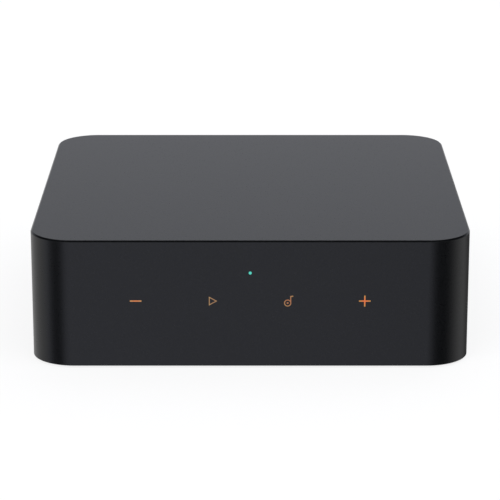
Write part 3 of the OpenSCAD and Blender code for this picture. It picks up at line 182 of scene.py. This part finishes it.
def boardLaminate(name, mask, track, weaveMm, trackMm):
    material, tree, shader, place = startMaterial(name)
    tracks = addNode(tree, "TexBrick", {"Vector": place, "Scale": 1 / (trackMm * mm),
                                        "Mortar Size": boardMask["trackShare"],
                                        "Color1": linear(mask), "Color2": linear(mask), "Mortar": linear(track)})
    weave = addNode(tree, "TexWave", {"Vector": place, "Scale": boardMask["weavePerScale"] / (weaveMm * mm),
                                      "Distortion": boardMask["weaveWander"]})
    tree.links.new(tracks.outputs["Color"], shader.inputs["Base Color"])
    tree.links.new(spread(tree, weave.outputs["Fac"], *boardMask["rough"]), shader.inputs["Roughness"])
    bump = addNode(tree, "Bump", {"Height": tracks.outputs["Fac"], "Strength": boardMask["strength"],
                                  "Distance": boardMask["trackRise"]})
    tree.links.new(bump.outputs["Normal"], shader.inputs["Normal"])
    return material


finishes = {
    # ABS moulded in a finely eroded tool: deep black with a satin sheen
    "shell_plastic": mouldedPlastic("satinBlackAbs", "#060709", "#08090b",
                                    rough=0.3, grainMm=0.5, depthMm=0.003, cloudMm=60, ior=1.5, level=0.35),
    # the same ABS from a coarser tool: duller, with a visible grain (drawn a little coarser than it is)
    "panel_plastic": mouldedPlastic("grainedBlackAbs", "#131416", "#17181a",
                                    rough=0.5, grainMm=0.45, depthMm=0.07, cloudMm=25),
    # zinc plated steel: grey, half bright, finely scratched by the driver
    "screw_steel": drawnMetal("zincPlatedSteel", "#8d9094", "#7e8185",
                              rough=0.34, lineMm=0.4),
    # soft moulded rubber: dull, with a dusty bloom
    "foot_rubber": mouldedPlastic("footRubber", "#1b1b1c", "#242425",
                                  rough=0.78, grainMm=0.35, depthMm=0.03, cloudMm=6, ior=1.5, level=0.3),
    # translucent polycarbonate, warm in tone where no lamp is lit behind it
    "symbol_plastic": mouldedPlastic("amberPolycarbonate", "#a8683f", "#b4744a",
                                     rough=0.3, grainMm=0.4, depthMm=0.004, cloudMm=3, ior=1.58),
    # clear acrylic rod: wet looking, teal in its depth
    "lens_plastic": mouldedPlastic("tealAcrylic", "#4c9c91", "#5aa89d",
                                   rough=0.15, grainMm=0.4, depthMm=0.002, cloudMm=2, ior=1.49),
    # white nylon that keeps stray lamp light in: chalky, a touch cream
    "white_plastic": mouldedPlastic("whiteNylon", "#d9d7d0", "#e2e0da",
                                    rough=0.45, grainMm=0.4, depthMm=0.01, cloudMm=5),
    # main board under green mask: tracks a shade lighter than the ground
    "board_laminate": boardLaminate("greenSolderMask", "#123a2a", "#2a7a56",
                                    weaveMm=0.4, trackMm=2.4),
    # small boards under black mask: tracks only just seen
    "dark_laminate": boardLaminate("blackSolderMask", "#141617", "#2b3632",
                                   weaveMm=0.4, trackMm=2.0),
    # moulded epoxy of the chips: dark grey and dry
    "chip_resin": mouldedPlastic("chipEpoxy", "#1c1d1e", "#232425",
                                 rough=0.55, grainMm=0.2, depthMm=0.008, cloudMm=4),
    # soft heat pad: pale blue grey, dull and slightly lumpy
    "pad_silicone": mouldedPlastic("thermalSilicone", "#8c97a1", "#98a2ab",
                                   rough=0.7, grainMm=0.5, depthMm=0.02, cloudMm=4, ior=1.42),
    # extruded aluminium, anodised: even grey with lines along the fins
    "sink_aluminium": drawnMetal("anodisedAluminium", "#8f959c", "#888e95",
                                 rough=0.4, lineMm=0.5, stretch=(1, 6, 1)),
    # tin plated sheet: pale, with the faint lines of the rolling mill
    "shield_steel": drawnMetal("tinPlatedSteel", "#b2b5b9", "#acafb3",
                               rough=0.32, lineMm=0.5, stretch=(1, 6, 1), depthMm=0.002),
    # bare copper foil: warm, with a dull bloom
    "antenna_copper": drawnMetal("bareCopperFoil", "#b46f45", "#a5643d",
                                 rough=0.36, lineMm=0.6),
    # thin cable jacket: black, with a soft sheen along it
    "lead_jacket": mouldedPlastic("blackLeadJacket", "#161617", "#1d1d1e",
                                  rough=0.5, grainMm=0.3, depthMm=0.008, cloudMm=5),
    # glass filled nylon of the socket bodies: black with a dry sheen
    "socket_plastic": mouldedPlastic("blackSocketNylon", "#121314", "#18191a",
                                     rough=0.42, grainMm=0.35, depthMm=0.012, cloudMm=8),
    # nickel plate on turned brass: bright and a little warm, with lathe marks running round
    "barrel_plating": drawnMetal("nickelPlatedBrass", "#c9c8c3", "#bab9b4",
                                 rough=0.45, lineMm=0.3, stretch=(1, 8, 1), depthMm=0.002, lathe=0.9),
    # coloured nylon that tells the sockets apart: clean, with a low gloss
    "white_insert_plastic": mouldedPlastic("whiteSocketNylon", "#dcdbd5", "#e6e5e0",
                                           rough=0.42, grainMm=0.35, depthMm=0.01, cloudMm=3),
    "red_insert_plastic": mouldedPlastic("redSocketNylon", "#a3181c", "#b31e20",
                                         rough=0.42, grainMm=0.35, depthMm=0.01, cloudMm=3),
    "orange_insert_plastic": mouldedPlastic("orangeSocketNylon", "#cf6a14", "#dc7718",
                                            rough=0.42, grainMm=0.35, depthMm=0.01, cloudMm=3),
    # thin gold on spring bronze: yellow glints inside dark sockets
    "contact_gold": drawnMetal("goldPlatedBronze", "#d9b45a", "#cba44c",
                               rough=0.24, lineMm=0.3),
    # nylon of the sprung shutters: a shade greyer than the socket round it
    "shutter_plastic": mouldedPlastic("shutterNylon", "#17181a", "#1d1e20",
                                      rough=0.46, grainMm=0.35, depthMm=0.015, cloudMm=4),
    # milky windows of lamps that are off: pale and slightly green
    "lamp_plastic": mouldedPlastic("unlitLampWindow", "#c8cbb8", "#d4d6c6",
                                   rough=0.25, grainMm=0.4, depthMm=0.004, cloudMm=3, ior=1.49),
    # reset button: dark grey, so that it shows in its hole
    "button_plastic": mouldedPlastic("resetButtonAbs", "#1f2022", "#27282a",
                                     rough=0.4, grainMm=0.3, depthMm=0.008, cloudMm=3),
}
print("materials made:", len(finishes))


# Modelling steps

def deselect():
    if bpy.context.object and bpy.context.object.mode != "OBJECT":
        bpy.ops.object.mode_set(mode="OBJECT")
    bpy.ops.object.select_all(action="DESELECT")


def grab(obj):
    deselect()
    obj.select_set(True)
    bpy.context.view_layer.objects.active = obj


def openEdit(obj, kind):
    grab(obj)
    bpy.ops.object.mode_set(mode="EDIT")
    bpy.ops.mesh.select_mode(type=kind)
    bpy.ops.mesh.select_all(action="DESELECT")


def closeEdit():
    bpy.ops.object.mode_set(mode="OBJECT")


def pick(obj, kind, test):  # selects what the test wants, in edit mode
    bpy.ops.mesh.select_all(action="DESELECT")
    mesh = bmesh.from_edit_mesh(obj.data)
    for item in getattr(mesh, kind):
        if test(item):
            item.select_set(True)
    mesh.select_flush_mode()
    bmesh.update_edit_mesh(obj.data)


def isUpright(edge):
    return abs(edge.verts[0].co.z - edge.verts[1].co.z) > mm


def applyModifier(obj, kind, **settings):
    grab(obj)
    modifier = obj.modifiers.new("step", kind)
    for key, value in settings.items():
        setattr(modifier, key, value)
    bpy.ops.object.modifier_apply(modifier=modifier.name)


def addBlock(name, low, high):
    deselect()
    bpy.ops.mesh.primitive_cube_add(size=1, location=[(a + b) / 2 for a, b in zip(low, high)])
    block = bpy.context.object
    block.scale = [b - a for a, b in zip(low, high)]
    bpy.ops.object.transform_apply(location=True, rotation=True, scale=True)
    block.name = block.data.name = name
    return block


def cutAway(obj, cutter):
    applyModifier(obj, "BOOLEAN", operation="DIFFERENCE", solver="EXACT", object=cutter)
    bpy.data.objects.remove(cutter)


def softenEdges(obj, width, segments=2, angle=35):
    applyModifier(obj, "BEVEL", width=width, segments=segments,
                  limit_method="ANGLE", angle_limit=math.radians(angle))


def smoothShade(obj, angle=30):
    grab(obj)
    bpy.ops.object.shade_smooth_by_angle(angle=math.radians(angle))
    applyModifier(obj, "WEIGHTED_NORMAL", keep_sharp=True, weight=50)


def finishPiece(obj, node, finish=None):
    obj.data.materials.clear()
    obj.data.materials.append(finish or finishes[slotOf[node]])
    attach(obj, bodyOf[node])
    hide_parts(node)


def camelName(node, alone=""):  # the piece's name for a node, with a second word where the node has only one
    words = node.split("_")
    return words[0] + "".join(w.capitalize() for w in words[1:] or [alone])


# points nearer than these are joined, and faces that turn by less are made one
welds = {"copied": 0.002 * mm, "turned": 0.001 * mm, "flatDegrees": 1}


def mergedCopy(node, name):  # a CAD node's copy, made one skin with flat faces joined
    grab(nodes[node])
    bpy.ops.object.duplicate()
    copy = bpy.context.object
    bpy.ops.object.parent_clear(type="CLEAR_KEEP_TRANSFORM")
    for key in list(copy.keys()):
        del copy[key]
    copy.name = copy.data.name = name
    openEdit(copy, "VERT")
    bpy.ops.mesh.select_all(action="SELECT")
    bpy.ops.mesh.customdata_custom_splitnormals_clear()
    bpy.ops.mesh.remove_doubles(threshold=welds["copied"])
    bpy.ops.mesh.dissolve_limited(angle_limit=math.radians(welds["flatDegrees"]))
    closeEdit()
    return copy


def turnedPiece(name, profile, centre, steps):  # profile of (radius, y) in metres, turned about Y
    deselect()
    bpy.ops.mesh.primitive_plane_add(size=mm)
    piece = bpy.context.object
    piece.name = piece.data.name = name
    openEdit(piece, "VERT")
    bpy.ops.mesh.select_all(action="SELECT")
    bpy.ops.mesh.merge(type="CENTER")
    points = [(centre[0] + r, y, centre[1]) for r, y in profile]
    bpy.ops.transform.translate(value=points[0])
    for start, end in zip(points, points[1:]):
        bpy.ops.mesh.extrude_vertices_move(TRANSFORM_OT_translate={"value": [b - a for a, b in zip(start, end)]})
    bpy.ops.mesh.select_all(action="SELECT")
    bpy.ops.mesh.spin(steps=steps, angle=2 * math.pi, center=(centre[0], 0, centre[1]), axis=(0, 1, 0))
    bpy.ops.mesh.select_all(action="SELECT")
    bpy.ops.mesh.remove_doubles(threshold=welds["turned"])
    bpy.ops.mesh.normals_make_consistent(inside=False)
    closeEdit()
    return piece


def quarterTurn(steps):  # angles from 0 to 90 degrees, for a rounded edge
    return [math.radians(90 * i / steps) for i in range(steps + 1)]


def shiftedCopy(piece, name, dx, dz):
    grab(piece)
    bpy.ops.object.duplicate()
    copy = bpy.context.object
    copy.name = copy.data.name = name
    openEdit(copy, "VERT")
    bpy.ops.mesh.select_all(action="SELECT")
    bpy.ops.transform.translate(value=(dx, 0, dz))
    closeEdit()
    return copy


def joined(pieces):
    grab(pieces[0])
    for piece in pieces[1:]:
        piece.select_set(True)
    bpy.ops.object.join()
    return bpy.context.object


# Case shell: a rounded block with its edge cut, hollowed from below and notched for the panel

caseShell = {"cornerRadius": 14 * mm, "cornerSteps": 40, "edgeCut": 0.5 * mm, "wall": 2.4 * mm, "roof": 2.6 * mm,
             "notchHalf": 55.545 * mm, "notchTop": 37 * mm, "notchPast": 5 * mm, "soft": 0.05 * mm,
             "pocketPlay": 0.015 * mm, "postGap": 0.02 * mm, "postCorner": 0.5 * mm, "facesDown": -0.9}
low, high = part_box("upper_shell")
shell = addBlock("caseShell", low, high)
openEdit(shell, "EDGE")
pick(shell, "edges", isUpright)
bpy.ops.mesh.bevel(offset=caseShell["cornerRadius"], segments=caseShell["cornerSteps"], affect="EDGES")
pick(shell, "edges", lambda e: min(v.co.z for v in e.verts) > high.z - touching)
bpy.ops.mesh.bevel(offset=caseShell["edgeCut"], segments=1, affect="EDGES")
# the underside is drawn in by the wall and pushed up to the roof
bpy.ops.mesh.select_mode(type="FACE")
pick(shell, "faces", lambda f: f.normal.z < caseShell["facesDown"])
bpy.ops.mesh.inset(thickness=caseShell["wall"])
bpy.ops.mesh.extrude_region_move(
    TRANSFORM_OT_translate={"value": (0, 0, high.z - caseShell["roof"] - low.z)})
bpy.ops.mesh.select_all(action="SELECT")
bpy.ops.mesh.normals_make_consistent(inside=False)
closeEdit()
past = caseShell["notchPast"]
notch = addBlock("notchCutter", (-caseShell["notchHalf"], high.y - 2 * caseShell["wall"], low.z - past),
                 (caseShell["notchHalf"], high.y + past, caseShell["notchTop"]))
cutAway(shell, notch)
softenEdges(shell, caseShell["soft"])
inlays = ("icon_minus", "icon_play", "icon_note", "icon_plus", "status_lens")
pocket = joined([mergedCopy(node, node + "Cutter") for node in inlays])
openEdit(pocket, "VERT")
bpy.ops.mesh.select_all(action="SELECT")
bpy.ops.transform.shrink_fatten(value=caseShell["pocketPlay"])
closeEdit()
cutAway(shell, pocket)
# the posts, webs and rib inside come from the solid, cut just clear of the walls and roof
posts = mergedCopy("upper_shell", "shellPosts")
inward = caseShell["wall"] + caseShell["postGap"]
cavity = addBlock("cavityCutter", (low.x + inward, low.y + inward, low.z - mm),
                  (high.x - inward, high.y - inward, high.z - caseShell["roof"] - caseShell["postGap"]))
openEdit(cavity, "EDGE")
pick(cavity, "edges", isUpright)
bpy.ops.mesh.bevel(offset=caseShell["cornerRadius"] - caseShell["wall"] + caseShell["postCorner"],
                   segments=caseShell["cornerSteps"], affect="EDGES")
closeEdit()
applyModifier(posts, "BOOLEAN", operation="INTERSECT", solver="EXACT", object=cavity)
bpy.data.objects.remove(cavity)
shell = joined([shell, posts])
smoothShade(shell)
finishPiece(shell, "upper_shell")
print("case shell modelled")

# Lit symbols and the status lens: each glows from the lamp behind its middle
# with the colour over the lamp, the colour at the ends and the lamp's reach in millimetres

litBody = "#24140c"
litSymbols = {"minus": ("#cb763f", "#bd8750", 2.4), "play": ("#906b47", "#9a7a4d", 2.6),
              "note": ("#9e653d", "#997244", 2.8), "plus": ("#db6e32", "#bb803a", 2.2)}
for word, (core, rim, reach) in litSymbols.items():
    low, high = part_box("icon_" + word)
    symbol = mergedCopy("icon_" + word, word + "Symbol")
    smoothShade(symbol)
    glow = litPlastic(word + "LitPolycarbonate", core, rim, (low + high) / 2, reach, litBody)
    finishPiece(symbol, "icon_" + word, glow)

statusLens = {"dome": 0.12 * mm, "domeSteps": 6, "steps": 32, "radius": 0.5 * mm,
              "flangeRadius": 1.3 * mm, "flangeDepth": 0.8 * mm,
              "core": "#52d0be", "rim": "#3fae9f", "body": "#0c1a18", "reach": 0.9, "spotMm": 0.3}
low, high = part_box("status_lens")
radius, rear = statusLens["radius"], high.y - statusLens["flangeDepth"]
profile = [(0, high.y), (statusLens["flangeRadius"], high.y), (statusLens["flangeRadius"], rear),
           (radius, rear), (radius, low.y)]
profile += [(radius * math.cos(a), low.y - statusLens["dome"] * math.sin(a))
            for a in quarterTurn(statusLens["domeSteps"])[1:]]
middle = ((low.x + high.x) / 2, (low.z + high.z) / 2)
lens = turnedPiece("statusLens", profile, middle, statusLens["steps"])
smoothShade(lens)
finishPiece(lens, "status_lens", litPlastic("tealLitAcrylic", statusLens["core"], statusLens["rim"],
                                            (middle[0], low.y, middle[1]), statusLens["reach"],
                                            statusLens["body"], statusLens["spotMm"]))
print("symbols and status lens modelled")

# Phono sockets: one barrel, insert and contact are turned and then copied to each place

phonoSocket = {"steps": 64, "radius": 4.15 * mm, "inside": 3.55 * mm, "shank": 3.85 * mm,
               "barrelOut": 8.5 * mm, "collarOut": 0.6 * mm, "lip": 0.28 * mm, "lipSteps": 5,
               "insertRadius": 3.5 * mm, "insertHole": 2.1 * mm,
               "contactRadius": 2.05 * mm, "contactHole": 1.65 * mm,
               # cuts on the edges, each as its width and its depth
               "insideCut": (0.1 * mm, 0.12 * mm), "insertCut": (0.12 * mm, 0.15 * mm),
               "holeMouth": 0.45 * mm, "holeThroat": (0.2 * mm, 0.2 * mm), "holeDepth": 0.7 * mm,
               "contactCut": (0.1 * mm, 0.12 * mm), "contactMouth": (0.15 * mm, 0.2 * mm)}
places = {n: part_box(n) for n in ("line_in_right_barrel", "line_in_left_barrel", "line_out_right_barrel",
                                 "line_out_left_barrel", "coax_barrel")}
centres = {n: ((b[0].x + b[1].x) / 2, (b[0].z + b[1].z) / 2) for n, b in places.items()}
first = "coax_barrel"  # the one that is turned
barrelRear, barrelEnd = places[first][0].y, places[first][1].y
p = phonoSocket
panelFace = barrelEnd - p["barrelOut"]
lipRound = [(p["radius"] - p["lip"] * (1 - math.cos(a)), barrelEnd - p["lip"] * (1 - math.sin(a)))
            for a in quarterTurn(p["lipSteps"])]
barrelProfile = [(p["inside"], barrelRear), (p["shank"], barrelRear), (p["shank"], panelFace + p["collarOut"]),
                 (p["radius"], panelFace + p["collarOut"])] + lipRound
barrelProfile += [(p["inside"] + p["insideCut"][0], barrelEnd), (p["inside"], barrelEnd - p["insideCut"][1]),
                  (p["inside"], barrelRear)]
contactLow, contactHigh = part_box("barrel_contacts")
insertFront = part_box("orange_insert")[1].y
insertProfile = [(0, barrelRear), (p["insertRadius"], barrelRear),
                 (p["insertRadius"], insertFront - p["insertCut"][1]),
                 (p["insertRadius"] - p["insertCut"][0], insertFront),
                 (p["insertHole"] + p["holeMouth"], insertFront),
                 (p["insertHole"] + p["holeThroat"][0], insertFront - p["holeThroat"][1]),
                 (p["insertHole"], insertFront - p["holeDepth"]),
                 (p["insertHole"], contactLow.y), (0, contactLow.y)]
contactProfile = [(p["contactHole"], contactLow.y), (p["contactRadius"], contactLow.y),
                  (p["contactRadius"], contactHigh.y - p["contactCut"][1]),
                  (p["contactRadius"] - p["contactCut"][0], contactHigh.y),
                  (p["contactHole"] + p["contactMouth"][0], contactHigh.y),
                  (p["contactHole"], contactHigh.y - p["contactMouth"][1]), (p["contactHole"], contactLow.y)]
barrel = turnedPiece("coaxBarrel", barrelProfile, centres[first], p["steps"])
insert = turnedPiece("orangeInsert", insertProfile, centres[first], p["steps"])
contact = turnedPiece("coaxContact", contactProfile, centres[first], p["steps"])
smoothShade(barrel)
smoothShade(insert)
smoothShade(contact)
inserts, contacts = {}, [contact]
for node, centre in centres.items():
    if node == first:
        continue
    dx, dz = centre[0] - centres[first][0], centre[1] - centres[first][1]
    name = camelName(node)
    finishPiece(shiftedCopy(barrel, name, dx, dz), node)
    inserts[node] = shiftedCopy(insert, name + "Insert", dx, dz)
    contacts.append(shiftedCopy(contact, name + "Contact", dx, dz))
finishPiece(barrel, first)
finishPiece(insert, "orange_insert")
for node, name, side in (("white_inserts", "whiteInserts", "left"), ("red_inserts", "redInserts", "right")):
    pair = joined([inserts["line_in_%s_barrel" % side], inserts["line_out_%s_barrel" % side]])
    pair.name = pair.data.name = name
    finishPiece(pair, node)
goldContacts = joined(contacts)
goldContacts.name = goldContacts.data.name = "barrelContacts"
finishPiece(goldContacts, "barrel_contacts")
print("phono sockets modelled")

# Pieces that keep the form of their solids, with their edges softened, in millimetres

softEdges = {
    "rear_panel": 0.15, "bottom_cover": 0.18, "cover_screws": 0.05,
    "foot_front_left": 0.25, "foot_front_right": 0.25, "foot_rear_left": 0.25, "foot_rear_right": 0.25,
    "line_in_block": 0.12, "line_out_block": 0.12, "coax_block": 0.12,
    "optical_out_housing": 0.1, "optical_in_housing": 0.1,
    "optical_out_shutter": 0.06, "optical_in_shutter": 0.06,
    "ethernet_shield": 0.06, "ethernet_insert": 0.1, "ethernet_contacts": 0.04, "ethernet_lamps": 0.08,
    "power_shell": 0.05, "power_tongue": 0.06, "trigger_jack": 0.1, "reset_button": 0.12,
    "heat_sink": 0.12, "processor": 0.1, "audio_converter": 0.08, "ethernet_transformer": 0.2,
}
for node, width in softEdges.items():
    piece = mergedCopy(node, camelName(node, alone="chip"))
    softenEdges(piece, width * mm)
    smoothShade(piece)
    finishPiece(piece, node)
print("softened pieces:", len(softEdges))

# Printed marks over the sockets: an arrow into or out of a bar, linked boxes and a direct current sign

panelMarks = {"ink": 0.02 * mm, "rise": 2.6 * mm, "upperShare": 0.9, "marks": {
    "lineInMark": ("line_in_left_barrel", "inward"), "lineOutMark": ("line_out_left_barrel", "outward"),
    "coaxMark": ("coax_barrel", "outward"), "opticalOutMark": ("optical_out_housing", "outward"),
    "opticalInMark": ("optical_in_housing", "inward"), "triggerMark": ("trigger_jack", "outward"),
    "networkMark": ("ethernet_shield", "network"), "powerMark": ("power_shell", "direct")}}
arrowPoints = [(-0.95, -0.14), (0.15, -0.14), (0.15, -0.6), (1.05, 0), (0.15, 0.6), (0.15, 0.14), (-0.95, 0.14)]


def boxPoints(x0, z0, x1, z1):
    return [(x0, z0), (x1, z0), (x1, z1), (x0, z1)]


markShapes = {
    "inward": [arrowPoints, boxPoints(1.25, -0.9, 1.53, 0.9)],
    "outward": [[(x + 0.45, z) for x, z in arrowPoints], boxPoints(-1.05, -0.9, -0.77, 0.9)],
    "network": [boxPoints(-0.45, 0.35, 0.45, 1.1),
                boxPoints(-1.4, -1.1, -0.5, -0.35), boxPoints(0.5, -1.1, 1.4, -0.35),
                [(-1.06, -0.35), (-0.84, -0.35), (-0.84, -0.11), (0.84, -0.11), (0.84, -0.35), (1.06, -0.35),
                 (1.06, 0.11), (0.11, 0.11), (0.11, 0.35), (-0.11, 0.35), (-0.11, 0.11), (-1.06, 0.11)]],
    "direct": [boxPoints(-1.3, 0.25, 1.3, 0.53)]
              + [boxPoints(x, -0.45, x + 0.68, -0.17) for x in (-1.3, -0.34, 0.62)],
}


def inkShape(name, points, x, z):
    deselect()
    bpy.ops.mesh.primitive_circle_add(vertices=len(points), radius=mm, fill_type="NGON",
                                      rotation=(math.radians(90), 0, 0))
    shape = bpy.context.object
    bpy.ops.object.transform_apply(location=True, rotation=True, scale=True)
    shape.name = shape.data.name = name
    openEdit(shape, "VERT")
    mesh = bmesh.from_edit_mesh(shape.data)
    for vertex, (px, pz) in zip(mesh.verts, points):
        vertex.co = (x - px * mm, panelFace, z + pz * mm)  # drawn to be read from behind
    bmesh.update_edit_mesh(shape.data)
    bpy.ops.mesh.select_all(action="SELECT")
    bpy.ops.mesh.extrude_region_move(TRANSFORM_OT_translate={"value": (0, panelMarks["ink"], 0)})
    bpy.ops.mesh.select_all(action="SELECT")
    bpy.ops.mesh.normals_make_consistent(inside=False)
    closeEdit()
    return shape


# pad printing ink: pale grey and dull, a little thin in places
markInk = mouldedPlastic("padPrintInk", "#9d9fa2", "#b2b4b6",
                         rough=0.6, grainMm=0.2, depthMm=0.004, cloudMm=0.8, ior=1.45)
lowNodes = [node for node, kind in panelMarks["marks"].values() if "left" not in node]
lowRow = max(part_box(node)[1].z for node in lowNodes) + panelMarks["rise"]
for name, (node, kind) in panelMarks["marks"].items():
    low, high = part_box(node)
    row = high.z + panelMarks["upperShare"] * panelMarks["rise"] if "left" in node else lowRow
    ink = joined([inkShape(name, points, (low.x + high.x) / 2, row) for points in markShapes[kind]])
    ink.data.materials.append(markInk)
    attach(ink, bodyOf["rear_panel"])
print("panel marks printed:", len(panelMarks["marks"]))

# Solids that stay as they are take the same finishes

for node, obj in nodes.items():
    obj.data.materials.clear()
    obj.data.materials.append(finishes[slotOf[node]])

# Stage: pale floor, surround and soft light

stage = {
    "floorSize": 8, "floorColour": "#f3f4f8", "floorLift": 0.82, "fibreScale": 400, "fibreRough": (0.94, 1),
    "ambient": 0.57, "tint": (0.94, 0.97, 1.12), "tintReach": 80,
    # brightness that gloss meets below the horizon, by degrees round from the front,
    # with dark cards beside the corners
    "around": [(-180, 0.75), (-137, 0.7), (-90, 0.8), (-77, 0.84), (-62, 0.16), (-54, 0.05), (-38, 0.05),
               (-22, 0.95), (0, 1), (5, 0.95), (26, 0.05), (32, 0), (54, 0), (61, 0.04),
               (90, 0.68), (105, 0.74), (120, 0.56), (136, 0.12), (160, 0.1), (172, 0.8)],
    # and above it, by the sine of its height
    "above": [(0.02, (0.95, 0.95, 0.96)), (0.2, (0.53, 0.546, 0.6)), (0.32, (0.475, 0.492, 0.543)),
              (0.5, (0.44, 0.45, 0.48)), (1, (0.7, 0.7, 0.72))],
    "horizon": (-0.1, 0.02),
    # edges of the dark card overhead, as parts of the direction it is seen in
    "cardSide": (0.28, 0.42), "cardRear": (0.16, 0), "cardFront": (-0.7, -0.54), "cardHeight": (0.33, 0.46),
    "cardColour": (0.004, 0.004, 0.005, 1), "white": (1, 1, 1, 1)}
scene = bpy.context.scene
deselect()
bpy.ops.mesh.primitive_plane_add(size=stage["floorSize"])
floor = bpy.context.object
floor.name = "paleFloor"
floorPaper, tree, shader, place = startMaterial("paleFloorPaper")
fibre = addNode(tree, "TexNoise", {"Vector": place, "Scale": stage["fibreScale"]}).outputs["Fac"]
tree.links.new(spread(tree, fibre, *stage["fibreRough"]), shader.inputs["Roughness"])
shader.inputs["Base Color"].default_value = linear(stage["floorColour"])
shader.inputs["Specular IOR Level"].default_value = 0
path = addNode(tree, "LightPath").outputs
lift = addNode(tree, "Math", {0: path["Is Camera Ray"], 1: stage["floorLift"]}, operation="MULTIPLY").outputs[0]
white = addNode(tree, "Emission", {"Color": stage["white"], "Strength": 1}).outputs[0]
shown = addNode(tree, "MixShader", {0: lift, 1: shader.outputs[0], 2: white}).outputs[0]
tree.links.new(shown, tree.nodes["Material Output"].inputs["Surface"])
floor.data.materials.append(floorPaper)
floor.visible_glossy = floor.visible_transmission = False  # gloss meets the surround's lower half instead

world = bpy.data.worlds.new("studioSurround")
scene.world = world
world.use_nodes = True
tree = world.node_tree
tree.nodes.clear()


def surroundRamp(amount, stops):
    ramp = addNode(tree, "ValToRGB", {"Fac": amount})
    band = ramp.color_ramp.elements
    for i, (position, colour) in enumerate(stops):
        stop = band[0] if i == 0 else band.new(position)
        stop.position, stop.color = position, (*colour, 1)
    band.remove(band[len(band) - 1])  # the white stop that a new ramp ends with
    return ramp.outputs["Color"]


def edge(amount, start, end):
    return addNode(tree, "MapRange", {"Value": amount, "From Min": start, "From Max": end}).outputs["Result"]


def combine(first, second, operation):
    return addNode(tree, "Math", {0: first, 1: second}, operation=operation).outputs[0]


direction = addNode(tree, "TexCoord").outputs["Generated"]
along = addNode(tree, "SeparateXYZ", {"Vector": direction}).outputs
turned = addNode(tree, "Mapping", {"Vector": direction, "Rotation": (0, 0, math.radians(90))}).outputs["Vector"]
round360 = addNode(tree, "TexGradient", {"Vector": turned}, gradient_type="RADIAL").outputs["Fac"]


def tinted(turn, level):  # the tint is kept to the front
    return [level * (t if abs(turn) < stage["tintReach"] else 1) for t in stage["tint"]]


below = surroundRamp(round360, [(turn / 360 + 0.5, tinted(turn, level)) for turn, level in stage["around"]])
above = surroundRamp(along["Z"], stage["above"])
# a dark card overhead, open to the rear and the front, which the cut edge of the case shows
sideways = addNode(tree, "Math", {0: along["X"]}, operation="ABSOLUTE").outputs[0]
card = combine(edge(sideways, *stage["cardSide"]), edge(along["Y"], *stage["cardRear"]), "MAXIMUM")
card = combine(card, edge(along["Y"], *stage["cardFront"]), "MULTIPLY")
card = combine(card, edge(along["Z"], *stage["cardHeight"]), "MULTIPLY")
# inputs 6 and 7 and output 2 are the colours of a mix node
shaded = addNode(tree, "Mix", {0: card, 6: above, 7: stage["cardColour"]}, data_type="RGBA").outputs[2]
sky = edge(along["Z"], *stage["horizon"])
whole = addNode(tree, "Mix", {0: sky, 6: below, 7: shaded}, data_type="RGBA").outputs[2]
gloss = addNode(tree, "Background", {"Color": whole, "Strength": 1}).outputs[0]
soft = addNode(tree, "Background", {"Color": stage["white"], "Strength": stage["ambient"]}).outputs[0]
backdrop = addNode(tree, "Background", {"Color": stage["white"], "Strength": 1}).outputs[0]
path = addNode(tree, "LightPath").outputs
mirrored = combine(path["Is Glossy Ray"], path["Is Transmission Ray"], "MAXIMUM")
lit = addNode(tree, "MixShader", {0: mirrored, 1: soft, 2: gloss}).outputs[0]
seen = addNode(tree, "MixShader", {0: path["Is Camera Ray"], 1: lit, 2: backdrop}).outputs[0]
addNode(tree, "OutputWorld", {"Surface": seen})

# each light's height and turn in degrees, strength, and spread in degrees
suns = {"keyLight": (50, -35, 1.1, 40), "fillLight": (45, 50, 0.9, 60), "backLight": (45, 165, 0.7, 60)}
for name, (rise, turn, strength, softness) in suns.items():
    light = bpy.data.lights.new(name, "SUN")
    light.energy = strength
    light.angle = math.radians(softness)
    lamp = bpy.data.objects.new(name, light)
    scene.collection.objects.link(lamp)
    lamp.rotation_euler = (math.radians(90 - rise), 0, math.radians(turn))
    lamp.visible_glossy = False

# Camera at the photograph's angle

view = {"place": (0, -768.39 * mm, 245.89 * mm), "tilt": 73.609, "lens": 166.486, "sensor": 36,
        "shift": (-0.00042, -0.01582), "farthest": 50}
camera = bpy.data.objects.new("photoCamera", bpy.data.cameras.new("photoCamera"))
scene.collection.objects.link(camera)
camera.location = view["place"]
camera.rotation_euler = (math.radians(view["tilt"]), 0, 0)
camera.data.lens = view["lens"]
camera.data.sensor_width = view["sensor"]
camera.data.shift_x, camera.data.shift_y = view["shift"]
camera.data.clip_end = view["farthest"]
scene.camera = camera
scene.view_settings.view_transform = "Standard"
print("stage and camera set")
